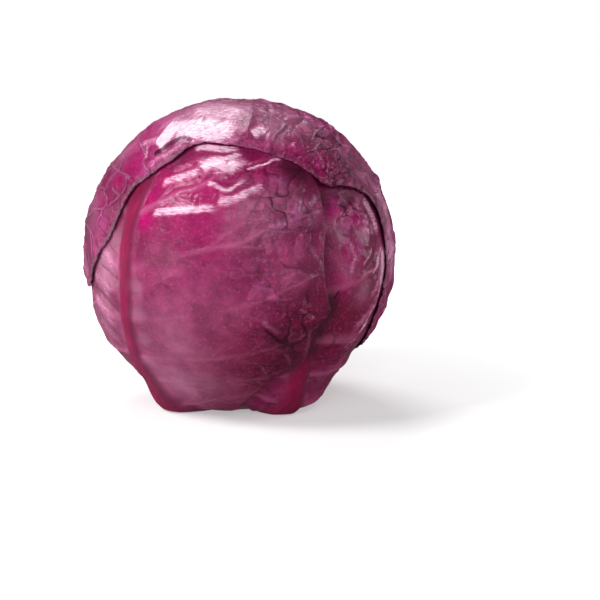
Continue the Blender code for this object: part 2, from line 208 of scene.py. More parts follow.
def openness(level, d):
    # 1 where nothing lies over the leaf at this level, and 0 where one does
    free = np.ones(d.shape[:-1])
    for upper in leaves[level:]:
        free = np.minimum(free, smoothStep((outside(upper, d) - head["veilTuck"])
                                           / head["veilFade"]))
    return free


def patches(d, places):
    # the strongest of several soft round patches: azimuth, latitude, strength, reach
    amount = np.zeros(d.shape[:-1])
    for azimuth, latitude, strength, reach in places:
        amount = np.maximum(amount, bump(d, azimuth, latitude, strength, reach))
    return amount


def strokes(leaf, p, paths):
    # the strongest of several soft strokes: path, half width, strength
    amount = np.zeros(len(p))
    for path, half, strength in paths:
        close, away, at, side = nearPath(leaf, p, path, 1.6 * half)
        soft = tapered(at, 0.12, 0.30) * (1 - smoothStep((away / half - 0.4) / 1.2))
        atLeast(amount, close, strength * soft)
    return amount


def edgeLift(leaf, d, p):
    # how far the margin stands off the head, in a strip of curlWidth, or hugs the leaf below
    strip = np.clip(1 + outside(leaf, d) / head["curlWidth"], 0, 1) ** 2
    bearing, latitude = np.arctan2(p[..., 0], p[..., 1]), angles(d)[1]
    hug = np.clip(patches(d, leaf["hugs"]), leaf["hug"], 1)
    lift = (1 - hug) * leaf["curl"] * (1 + 0.6 * np.sin(leaf["waves"] * bearing + 0.7))
    for lifted in leaf["lifts"]:
        lift = lift + bump(d, *lifted)
    return strip * (lift * smoothStep((latitude + 70) / 25) - head["press"] * hug)


noiseCells, noiseShift = 128, 40.0  # size of a table of random numbers, and where it starts


def softNoise(q, size, seed):
    # values from -1 to 1 at the corners of a square grid, blended smoothly between them
    table = np.random.default_rng(seed).uniform(-1, 1, (noiseCells, noiseCells))
    at = q / size + noiseShift
    low = np.floor(at).astype(int)
    fx, fy = np.moveaxis(smoothStep(at - low), -1, 0)
    i, j = np.moveaxis(low % noiseCells, -1, 0)
    i1, j1 = (i + 1) % noiseCells, (j + 1) % noiseCells
    return ((table[i, j] * (1 - fx) + table[i1, j] * fx) * (1 - fy)
            + (table[i, j1] * (1 - fx) + table[i1, j1] * fx) * fy)


def cellNet(q, size, seed):
    # Irregular cells round seeds jittered on a square grid. Gives the distance to the
    # nearest border, the offset from the cell's own seed, and three random numbers a cell.
    table = np.random.default_rng(seed).random((noiseCells, noiseCells, 5))
    at = q / size + noiseShift
    home = np.floor(at)
    def seedAt(dx, dy):
        cell = home + (dx, dy)
        i, j = np.moveaxis(cell.astype(int) % noiseCells, -1, 0)
        return cell + 0.12 + 0.76 * table[i, j, :2] - at, table[i, j, 2:]
    best = border = np.full(at.shape[:-1], 9.0)
    offset, numbers = np.zeros_like(at), np.zeros(at.shape[:-1] + (3,))
    for dx in (-1, 0, 1):
        for dy in (-1, 0, 1):
            r, own = seedAt(dx, dy)
            far = np.sum(r * r, -1)
            nearer = far < best
            best = np.where(nearer, far, best)
            offset = np.where(nearer[..., None], r, offset)
            numbers = np.where(nearer[..., None], own, numbers)
    for dx in (-2, -1, 0, 1, 2):
        for dy in (-2, -1, 0, 1, 2):
            r = seedAt(dx, dy)[0]
            apart = r - offset
            long = np.sqrt(np.sum(apart * apart, -1))
            half = np.sum(0.5 * (r + offset) * apart, -1) / np.maximum(long, 1e-6)
            border = np.where(long > 1e-4, np.minimum(border, half), border)
    return border * size, -offset * size, numbers


def nearLine(p, line, reach):
    # Which points lie within reach of the line, how far from it, where along it they are,
    # from 0 to 1, and on which side, 1 left and -1 right: the nearest spot on each of its
    # straight pieces, then the least.
    low, high = line.min(0) - reach, line.max(0) + reach
    close = np.nonzero(np.all((p > low) & (p < high), -1))[0]
    a, step = line[:-1], np.diff(line, axis=0)
    share = np.sum((p[close, None] - a) * step, -1) / np.maximum(np.sum(step * step, -1), 1e-12)
    share = np.clip(share, 0, 1)
    away = np.linalg.norm(p[close, None] - a - share[..., None] * step, axis=-1)
    pick = np.argmin(away, axis=1)
    row = np.arange(len(close))
    off = p[close] - a[pick]
    side = np.sign(step[pick, 0] * off[:, 1] - step[pick, 1] * off[:, 0])
    return close, away[row, pick], (pick + share[row, pick]) / len(step), side


def nearPath(leaf, p, path, reach, count=30):
    # nearLine for the smooth line through (azimuth, latitude) places
    return nearLine(p, smoothLine(onPlane(leaf, path), count), reach)


def layOut(leaf):
    # the leaf's own plane, its midrib, margins and outline there, and its veins
    a, b = np.radians(leaf["middle"])
    leaf["centre"] = direction(*leaf["middle"])
    leaf["east"] = np.array([np.cos(a), np.sin(a), 0.0])
    leaf["north"] = np.array([-np.sin(b) * np.sin(a), np.sin(b) * np.cos(a), np.cos(b)])
    for key in ("rib", "left", "right"):
        leaf[key + "Line"] = onPlane(leaf, leaf[key])
    loop = np.concatenate([leaf["ribLine"][:1], leaf["leftLine"], leaf["rightLine"][-2::-1]])
    loop = smoothLine(loop, 720, closed=True)
    bearing = np.arctan2(loop[:, 0], loop[:, 1])
    order = np.argsort(bearing)
    leaf["bearing"], leaf["reach"] = bearing[order], np.linalg.norm(loop, axis=1)[order]
    leaf["veinLines"] = veinLines(leaf)


veins = dict(  # half widths are at the start, and how much they lose to the end
    bow=0.09,  # how far a side vein bows towards the stump
    crowding=0.30,  # how much closer than even the veins start at the stump
    half=(0.0021, 0.0014), branchHalf=(0.0012, 0.0006), twigHalf=(0.0009, 0.0004),
    forks=(0.20, 0.33, 0.45, 0.56, 0.66, 0.75, 0.83),  # where along a vein the branches leave
    spread=(34, 52),  # their angle to it
    sway=0.0007,  # how far a side vein wavers
    fullLength=0.06,  # a shorter vein is lower too
)


def veinLines(leaf):
    # Side veins leave the midrib and bow out to the margin. Each throws branches to both
    # sides, which fork once more. A vein is its line, half widths and heights along it.
    random = np.random.default_rng(leaf["seed"])
    step = (np.arange(leaf["veins"]) + 0.6) / (leaf["veins"] + 0.2)
    start = (1 - veins["crowding"]) * step + veins["crowding"] * step**2
    rib = smoothLine(leaf["ribLine"], 400)
    foot, made = rib[0], []
    for side in ("left", "right"):
        margin = smoothLine(leaf[side + "Line"], 400)
        for share in start:
            at = int(round(399 * share))
            a, c = rib[at], margin[min(399, at + int(random.integers(-4, 5)))]
            chord = c - a
            long = np.linalg.norm(chord)
            bow = np.array([-chord[1], chord[0]]) / max(long, 1e-6)
            bow = bow * np.sign(bow @ (foot - a))
            turn = a + 0.5 * chord + veins["bow"] * long * bow
            w = np.linspace(0, 0.97, 28)[:, None]
            line = (1 - w) ** 2 * a + 2 * w * (1 - w) * turn + w**2 * c
            line = line + veins["sway"] * np.stack([np.sin(9 * w[:, 0] + 7 * share),
                                                    np.cos(11 * w[:, 0] + 5 * share)], -1)
            size, (wide, loss) = min(1.0, long / veins["fullLength"]), veins["half"]
            made.append((line, wide - loss * w[:, 0], size * (1 - 0.72 * w[:, 0])))
            turnTo = 1 if side == "left" else -1
            for f in veins["forks"]:
                i = int(27 * f)
                ahead = line[min(27, i + 3)] - line[i]
                ahead = ahead / max(np.linalg.norm(ahead), 1e-9)
                turnTo = -turnTo
                spread = np.radians(random.uniform(*veins["spread"])) * turnTo
                out = np.array([ahead[0] * np.cos(spread) - ahead[1] * np.sin(spread),
                                ahead[0] * np.sin(spread) + ahead[1] * np.cos(spread)])
                far = long * (0.30 * (1 - f) + 0.07) * random.uniform(0.8, 1.15)
                v = np.linspace(0, 1, 12)
                t = v[:, None]
                branch = line[i] + far * (t * out + 0.28 * t**2 * (ahead - out))
                twig = branch[6] + 0.55 * far * t * (0.75 * ahead - 0.45 * out)
                for way, key, high in ((branch, "branchHalf", 0.55 * (1 - 0.4 * f)),
                                       (twig, "twigHalf", 0.34)):
                    wide, loss = veins[key]
                    made.append((way, wide - loss * v, high * size * (1 - 0.75 * v)))
    return made


detail = dict(  # relief that all the leaves share
    ribReach=0.022, veinReach=0.005,  # from their line, where they end
    netMark=0.0013, ridgeMark=0.0015,  # half widths of the net's mask
    netPatch=0.016,  # patches where the net is strong or faint
    cellSlope=0.0018, facetSlope=0.0055,  # width of the slope at a border
    facetLine=0.0010,  # half width of the groove between facets
    pillows=(0.0085, 0.0037), pillowHeight=0.0026,  # of crumpled skin
    stepFace=0.0008,  # width of a step's steep side
    foldDepth=0.0015, stepDepth=0.0030,  # from this height on, a fold has its full dark line of painted shade
    creaseHalf=0.0013,  # half width of that line
    nicks=(0.0031, 0.0013), nickStrip=0.004,  # of a ragged margin
)


def leafRelief(leaf, p, d):
    # Everything that stands up from a leaf's blade or sinks into it, in metres, and masks
    # from 0 to 1 for its material.
    seed, shares = leaf["seed"], {}
    calm = 1 - np.minimum(patches(d, leaf["calm"]), 1)
    wander = sum(far * np.stack([softNoise(p, lump, first), softNoise(p, lump, first + 1)], -1)
                 for far, lump, first in head["wander"])
    # midrib: a flat-topped band with round shoulders, its size mixed between three places
    close, away, at, side = nearLine(p + 0.3 * wander, smoothLine(leaf["ribLine"], 90),
                                     detail["ribReach"])
    foot, middle, tip = np.array(leaf["ribSize"])
    along = at[:, None]
    size = np.where(along < 0.45, foot + (middle - foot) * smoothStep(along / 0.45),
                    middle + (tip - middle) * (along - 0.45) / 0.55)
    fadeOut = 1 - smoothStep((at - 0.93) / 0.07)
    x = away / size[:, 0]
    ribHeight, rib, ribSide = np.zeros((3, len(p)))
    ribHeight[close] = size[:, 1] * fadeOut * (0.75 * (1 - smoothStep((x - 0.45) / 0.70))
                                               + 0.25 * np.clip(1 - x**2, 0, 1))
    rib[close] = (1 - smoothStep((x - 0.60) / 0.55)) * fadeOut
    ribSide[close] = np.clip(0.5 - 0.5 * side * x, 0, 1) * fadeOut
    # side veins and branches: height times hump, the highest wins
    veinHeight = np.zeros(len(p))
    for line, half, height in leaf["veinLines"]:
        close, away, at, side = nearLine(p + wander, line, detail["veinReach"])
        w = np.interp(at, np.linspace(0, 1, len(half)), half)
        h = np.interp(at, np.linspace(0, 1, len(height)), height)
        atLeast(veinHeight, close, h * hump(away, w))
    veinHeight = veinHeight * calm * (1 - rib)
    vein = np.clip(1.6 * veinHeight, 0, 1)
    # net of cells between the veins, strong in some places and faint in others, with
    # every cell tilted a little
    net, offset, numbers = cellNet(p + 1.6 * wander, leaf["netSize"], seed + 20)
    strong = calm * smoothStep(0.5 + 0.9 * softNoise(p, detail["netPatch"], seed + 21))
    mark = hump(net, detail["netMark"]) * strong
    dish = smoothStep(net / (0.42 * leaf["netSize"])) * calm
    lean = (numbers[:, :2] - 0.5) * 2 * leaf["cellTilt"]
    tilt = np.sum(lean * offset, -1) * smoothStep(net / detail["cellSlope"]) * calm
    # ridges of the net that are given by name
    traced = np.zeros(len(p))
    for path, height, half in leaf["ridges"]:
        close, away, at, side = nearPath(leaf, p + 0.4 * wander, path, 3 * half)
        atLeast(traced, close, height * hump(away, half) * (0.25 + 0.75 * tapered(at, 0.1, 0.1)))
        marked = hump(away, detail["ridgeMark"])
        atLeast(mark, close, marked * (0.6 + 0.4 * tapered(at, 0.06, 0.06)))
    # broad facets with soft creases between them
    border, offset, numbers = cellNet(p + 2.2 * wander, leaf["facetSize"], seed + 40)
    lean = (numbers[:, :2] - 0.5) * 2 * leaf["facetTilt"]
    facets = np.sum(lean * offset, -1) * smoothStep(border / detail["facetSlope"])
    facets = facets - leaf["facetGroove"] * hump(border, detail["facetLine"])
    facets = facets * (0.25 + 0.75 * calm)
    # wrinkles: pillows of two sizes, |noise|, with a groove where the noise is zero
    wrinkled = np.minimum(patches(d, leaf["wrinkles"]), 1)
    coarse, fine = (np.abs(softNoise(p + 2 * wander, lump, seed + 60 + k))
                    for k, lump in enumerate(detail["pillows"]))
    pillows = wrinkled * detail["pillowHeight"] * (0.65 * coarse + 0.35 * fine - 0.25)
    small = (leaf["netHeight"] * hump(net, leaf["netWidth"]) * strong
             - leaf["netDish"] * dish + tilt + traced)
    small = (small * (1 - 0.5 * vein) + facets + pillows) * (1 - 0.85 * rib)
    # Named folds: a round one is a ridge or a groove, a sharp one has a crest that falls
    # off as (1 - distance / reach)^2, and a step lifts its left side over its right.
    crease = np.zeros(len(p))
    for kind in ("round", "sharp", "step"):
        isStep = kind == "step"
        for path, height, half in leaf[kind]:
            reach = 2.5 * half if kind == "round" else half
            close, away, at, side = nearPath(leaf, p + 0.5 * wander, path, reach, 40)
            bend = height * tapered(at, 0.15, 0.15)
            x = np.clip(away / half, 0, 1)
            if kind == "round":
                small[close] += bend * hump(away, half)
            elif kind == "sharp":
                small[close] += bend * (1 - x) ** 2
            else:
                face = smoothStep(away / detail["stepFace"])
                small[close] += 0.5 * bend * side * (1 - x) ** 2 * face
            # a dent or a step also gets a line of painted shade along it
            if height < 0 or isStep:
                deep = min(1.0, abs(height) / detail["stepDepth" if isStep else "foldDepth"])
                dark = hump(away, min(detail["creaseHalf"], 0.9 * half))
                fade = 0.12 if isStep else 0.35
                atLeast(crease, close, (0.30 + 0.70 * deep) * dark * tapered(at, fade, fade))
    for key in ("haze", "hot", "dark", "red", "dry"):
        shares[key] = patches(d, leaf[key])
    # painted highlights along the shine strokes, and wax bloom with painted sheen along the veils
    shine = strokes(leaf, p + 0.4 * wander, leaf["shine"])
    shares["haze"] = np.maximum(shares["haze"], strokes(leaf, p + 0.4 * wander, leaf["veils"]))
    shares.update(rib=rib, ribSide=ribSide, vein=vein, net=mark, crease=crease, shine=shine,
                  crumple=wrinkled, wrinkle=wrinkled * smoothStep(1 - 5 * coarse))
    return ribHeight + leaf["relief"] * veinHeight, small, shares


def place(d, radius):
    # points at this radius from the middle, kept clear of the stalk and above the floor
    points = d * radius[..., None] + (0, 0, head["middle"])
    fromAxis = np.maximum(np.hypot(points[..., 0], points[..., 1]), 1e-9)
    push = np.where(d[..., 2] < 0, np.maximum(1, (stump["radius"] + stump["clear"]) / fromAxis), 1)
    points[..., 0] *= push
    points[..., 1] *= push
    points[..., 2] = np.maximum(points[..., 2], head["floorClear"])
    return points


def leafFaces(level, leaf, p):
    # outer and inner radius and the masks at points of the leaf's plane
    d = fromPlane(leaf, p)
    free = openness(level, d)
    ribs, small, shares = leafRelief(leaf, p, d)
    base = bladeRadius(level, d) + edgeLift(leaf, d, p) * free
    outer = base + ribs * (0.12 + 0.88 * free) + np.maximum(small, -head["sunk"]) * free
    inside = np.maximum(-outside(leaf, d), 0)
    full = smoothStep(inside / head["edgeStrip"])
    thick = head["blade"] * (head["edgeShare"] + (1 - head["edgeShare"]) * full)
    inner = np.minimum(base - thick + 0.35 * ribs * free, outer - head["thinnest"])
    shares["rim"] = np.clip(inside / 0.02, 0, 1)
    shares["under"] = 1 - free
    return d, outer, inner, shares


def discGrid(count, crowd):
    # A square grid bent into a disc. crowd draws its rings towards the rim:
    # share = (1 - crowd) t + crowd (1 - (1 - t)^2).
    u, v = np.meshgrid(np.linspace(-1, 1, count), np.linspace(-1, 1, count), indexing="ij")
    t = np.maximum(np.abs(u), np.abs(v))
    wide = np.abs(u) >= np.abs(v)
    safeU, safeV = np.where(u == 0, 1, u), np.where(v == 0, 1, v)
    turn = np.where(wide, np.pi / 4 * v / safeU + np.where(u < 0, np.pi, 0),
                    np.pi / 2 - np.pi / 4 * u / safeV + np.where(v < 0, np.pi, 0))
    share = (1 - crowd) * t + crowd * (1 - (1 - t) ** 2)
    return share.ravel(), turn.ravel()


def rimOrder(count):
    # the square grid's border, once round
    i = np.arange(count)
    bottom, right = i[:-1] * count, (count - 1) * count + i[:-1]
    top, left = i[:0:-1] * count + count - 1, i[:0:-1]
    return np.concatenate([bottom, right, top, left])


def gridQuads(count, first):
    i, j = np.meshgrid(np.arange(count - 1), np.arange(count - 1), indexing="ij")
    a = (first + i * count + j).ravel()
    return np.stack([a, a + count, a + count + 1, a + 1], -1)


def meshPiece(name, points, faceSets, shares=None, uv=None):
    # A mesh from arrays of points and of faces, each set with one number of corners, with
    # its masks as point attributes and its flat coordinates as a UV map.
    mesh = bpy.data.meshes.new(name)
    corners = np.concatenate([faces.ravel() for faces in faceSets]).astype(np.int32)
    totals = np.concatenate([np.full(len(faces), faces.shape[1]) for faces in faceSets])
    starts = np.concatenate([[0], np.cumsum(totals)[:-1]])
    mesh.vertices.add(len(points))
    mesh.vertices.foreach_set("co", points.astype(np.float32).ravel())
    mesh.loops.add(len(corners))
    mesh.loops.foreach_set("vertex_index", corners)
    mesh.polygons.add(len(totals))
    mesh.polygons.foreach_set("loop_start", starts.astype(np.int32))
    mesh.polygons.foreach_set("loop_total", totals.astype(np.int32))
    mesh.update(calc_edges=True)
    mesh.validate()
    for key, values in (shares or {}).items():
        layer = mesh.attributes.new(key, "FLOAT", "POINT")
        layer.data.foreach_set("value", values.astype(np.float32))
    if uv is not None:
        layer = mesh.uv_layers.new(name="leafPlane")
        layer.data.foreach_set("uv", uv[corners].astype(np.float32).ravel())
    mesh.shade_smooth()
    thing = bpy.data.objects.new(name, mesh)
    bpy.context.scene.collection.objects.link(thing)
    return thing


def growLeaf(level, leaf):
    # Outer face on a fine disc grid, a rounded rim of three rings, inner face on a grid
    # three times as coarse, joined into one closed skin.
    coarse = leaf["grid"]
    fine = 3 * (coarse - 1) + 1
    share, turn = discGrid(fine, head["crowd"])
    bearing = np.pi / 2 - turn
    reach = np.interp(bearing, leaf["bearing"], leaf["reach"], period=2 * np.pi)
    arc = np.stack([np.cos(bearing), np.sin(bearing)], -1) * reach[:, None]
    large, small = (softNoise(arc, lump, leaf["seed"] + 3 + k)
                    for k, lump in enumerate(detail["nicks"]))
    nick = leaf["ragged"] * (0.55 * large + 0.45 * small)
    nick = nick * smoothStep(1 - (1 - share) * reach / detail["nickStrip"])
    out = np.stack([np.sin(bearing), np.cos(bearing)], -1)
    p = out * (share * reach + nick)[:, None]
    d, outer, inner, shares = leafFaces(level, leaf, p)
    rim = rimOrder(fine)
    thick = outer[rim] - inner[rim]
    rings, ringP = [], []
    for theta in (np.pi / 4, np.pi / 2, 3 * np.pi / 4):
        q = p[rim] + out[rim] * (head["edgeBulge"] * thick * np.sin(theta))[:, None]
        rings.append(place(fromPlane(leaf, q), outer[rim] - 0.5 * thick * (1 - np.cos(theta))))
        ringP.append(q)
    backOf = np.arange(fine * fine).reshape(fine, fine)[::3, ::3].ravel()
    backP = p[backOf]
    backD, _, backInner, backShares = leafFaces(level, leaf, backP)
    backRim = rimOrder(coarse)
    backInner[backRim] = inner[rim][::3]
    points = np.concatenate([place(d, outer)] + rings + [place(backD, backInner)])
    count = len(rim)
    loops = [rim] + [fine * fine + k * count + np.arange(count) for k in range(3)]
    strips = [np.stack([a, b, np.roll(b, -1), np.roll(a, -1)], -1)
              for a, b in zip(loops, loops[1:])]
    firstBack = fine * fine + 3 * count
    last, back = loops[3].reshape(-1, 3), firstBack + backRim
    seam = np.stack([last[:, 0], back, np.roll(back, -1), np.roll(last[:, 0], -1),
                     last[:, 2], last[:, 1]], -1)
    quads = [gridQuads(fine, 0), gridQuads(coarse, firstBack)[:, ::-1]] + strips
    allShares = {key: np.concatenate([value] + [value[rim]] * 3 + [backShares[key]])
                 for key, value in shares.items()}
    allP = np.concatenate([p] + ringP + [backP])
    piece = meshPiece(leaf["piece"], points, quads + [seam], allShares,
                      0.5 + allP / head["sheet"])
    print(leaf["piece"], "grown:", len(piece.data.polygons), "faces")
    return piece


# The five leaves, from the innermost to the outermost. Places are (azimuth, latitude).
# middle: of the leaf's plane. rib: from the stump to where the midrib fades. left, right:
# the two margins from the stump to the tip. ribSize: half width and height of the midrib at
# the stump, mid leaf and tip. grid: points along a side of the inner face's mesh.
# curl, waves, ragged: lift of an open margin, number of its waves, depth of its nicks.
# relief: height of the side veins. hug: the least that a margin hugs the leaf below.
# net... and facet...: cells of the net and broad facets. cellTilt, facetTilt: their slopes.
# lifts: where the margin stands off the head, as azimuth, latitude, height, reach.
# Patches are azimuth, latitude, strength, reach: hugs, where the margin lies close on the
# leaf below, calm, smooth skin, wrinkles, crumpled skin, haze, wax bloom and painted sheen,
# hot, bright magenta, dark, painted shade, red, crimson, and dry, a papery margin.
# round, sharp and step are folds and ridges are the net's: path, height, half width.
# shine holds strokes of painted highlight and veils strokes of wax bloom with painted sheen: path,
# half width, strength.
plainLeaf = dict(
    curl=0.0010, waves=7, relief=0.0012, ragged=0.0003, lifts=[], hug=0.3, hugs=[], calm=[],
    wrinkles=[],
    netSize=0.0105, netHeight=0.00016, netWidth=0.0007, netDish=0.00012, cellTilt=0.020,
    facetSize=0.027, facetTilt=0.035, facetGroove=0.0002,
    round=[], sharp=[], step=[], ridges=[], shine=[], veils=[], haze=[], hot=[], dark=[], red=[],
    dry=[],
)
backLeaf = dict(
    plainLeaf, piece="backLeaf", node="leaf_back", slot="dark_leaf", middle=(108, -2), veins=6,
    grid=61, seed=11,
    rib=[(112, -79), (110, -55), (107, -20), (105, 15), (104, 45)],
    left=[(64, -76), (60, -62), (50, -40), (42, -12), (42, 18), (56, 46), (104, 64)],
    right=[(160, -76), (164, -60), (176, -38), (184, -10), (182, 18), (164, 46), (104, 64)],
    ribSize=[(0.0090, 0.0024), (0.0034, 0.0013), (0.0015, 0.0004)],
    haze=[(120, 10, 0.4, 0.03)], wrinkles=[(120, -10, 0.5, 0.04)],
)
leftLeaf = dict(
    plainLeaf, piece="leftLeaf", node="leaf_left", slot="dark_leaf", middle=(-124, -2), veins=6,
    grid=61, seed=12,
    rib=[(-122, -79), (-123, -55), (-124, -20), (-125, 15), (-126, 45)],
    left=[(-170, -76), (-176, -60), (-190, -38), (-200, -10), (-196, 18), (-176, 46),
          (-126, 64)],
    right=[(-78, -76), (-74, -60), (-66, -38), (-60, -10), (-62, 18), (-78, 46), (-126, 64)],
    ribSize=[(0.0095, 0.0026), (0.0036, 0.0014), (0.0015, 0.0004)],
    haze=[(-120, -20, 0.4, 0.03)],
)
rightLeaf = dict(
    plainLeaf, piece="rightLeaf", node="leaf_right", slot="dark_leaf", middle=(36, -2), veins=7,
    grid=81, seed=13, curl=0.0012, waves=8, relief=0.0013,
    rib=[(42, -79), (36, -60), (29, -35), (27, -5), (27, 25), (28, 50)],
    left=[(-14, -76), (-20, -64), (-30, -45), (-38, -20), (-38, 5), (-32, 28), (-16, 50),
          (26, 66)],
    right=[(96, -76), (98, -66), (104, -52), (112, -34), (120, -12), (121, 12), (108, 36),
           (80, 56), (26, 66)],
    ribSize=[(0.0105, 0.0032), (0.0036, 0.0016), (0.0015, 0.0004)],
    calm=[(45, 10, 0.6, 0.020)],
    wrinkles=[(46, 18, 1.0, 0.020), (38, -30, 0.8, 0.022), (46, -6, 0.5, 0.018)],
    round=[
        ([(42, -29), (51, -22), (59, -15), (66, -6)], 0.0012, 0.0034),
        ([(52, -3.5), (58, -0.5), (63, 3), (68, 6)], 0.0011, 0.0013),
        ([(50, -1), (55, 1.5), (61, 5.5)], -0.0010, 0.0022),
        ([(55, -5), (61, -2), (67, 3)], -0.0009, 0.0020),
        ([(48, 0), (50, 2.5), (53, 4.5), (56, 7)], 0.0009, 0.0011),
        ([(43, -1), (43.6, 2), (45, 5)], 0.0008, 0.0013),
        ([(51, 7), (54, 10), (56, 15)], 0.0009, 0.0020),
        ([(58, 10), (60, 15), (61, 21)], -0.0006, 0.0014),
        ([(33, -12), (36, -8), (40, -4)], -0.0012, 0.0012),
        ([(35, -14), (38, -10), (42, -6)], 0.0007, 0.0016),
    ],
    # strokes of painted highlight
    shine=[
        ([(70, 8), (68, -2), (64, -12), (58, -21), (50, -29), (44, -34)], 0.0040, 0.75),
        ([(66, -2), (60, -8), (54, -12)], 0.0022, 0.45),
        ([(60, -14), (52, -19), (46, -21)], 0.0020, 0.40),
        ([(68, 6), (63, 3), (58, -0.5), (52, -3.5)], 0.0012, 0.75),
        ([(56, 7), (53, 4.5), (50, 2.5), (48, 0)], 0.0008, 0.65),
        ([(58, 20), (55, 15), (52, 10)], 0.0030, 0.45),
        ([(45, 5), (43.6, 2), (43, -1)], 0.0011, 0.50),
        ([(61, 26), (64, 18), (66, 8)], 0.0032, 0.65),
    ],
    haze=[(40, 14, 0.5, 0.006), (49, 12, 0.4, 0.006), (42, 1, 0.4, 0.006), (50, -8, 0.4, 0.007)],
    hot=[(39, 23, 0.7, 0.007), (51, 18, 0.6, 0.007), (44, 6, 0.6, 0.008), (40, -3, 0.5, 0.008)],
    dark=[(33, -12, 1.0, 0.008), (50, 25, 0.2, 0.007), (36, 27, 0.6, 0.006), (44, 27, 0.3, 0.006),
          (58, 9, 0.7, 0.004), (52, 6, 0.6, 0.004), (30, -20, 0.8, 0.008), (28, -28, 0.8, 0.008)],
    red=[(42, -12, 1.0, 0.019), (36, -24, 0.9, 0.022)],
)
puckers = [  # raised folds of the front leaf: path, height, half width, and half width and strength of the wax bloom and painted sheen along it
    ([(20, 2.8), (23, 1.2), (25.5, -0.8)], 0.0009, 0.0011, 0.0009, 0.45),
    ([(22, -7.5), (24, -9.2), (26, -9.5)], 0.0008, 0.0010, 0.0008, 0.3),
    ([(21, -10), (24, -12.5), (27, -15)], 0.0009, 0.0011, 0.0009, 0.4),
    ([(25.5, -19), (26.5, -24), (25.5, -29)], 0.0009, 0.0011, 0.0008, 0.4),
    ([(17.5, -27.5), (20, -31), (21.5, -34.5)], 0.0007, 0.0009, 0.0007, 0.5),
    ([(8, -33), (10, -36), (12.5, -39.5)], 0.0007, 0.0009, 0.0007, 0.4),
    ([(8, -14), (12, -17), (15, -20)], 0.0007, 0.0014, 0.0010, 0.3),
]
paleGaps = [  # between its side veins: path, half width and strength of the painted highlight, then of the wax bloom and painted sheen
    ([(-62, 5), (-56, 4), (-49.5, 0)], 0.0030, 0.42, 0.0034, 0.9),
    ([(-70, -3), (-59, -6.5), (-49.5, -9.5)], 0.0034, 0.42, 0.0040, 0.9),
    ([(-70, -12), (-60, -15.5), (-50.5, -20)], 0.0034, 0.42, 0.0040, 0.9),
    ([(-68, -21), (-60, -25), (-54, -28)], 0.0030, 0.36, 0.0034, 0.8),
]
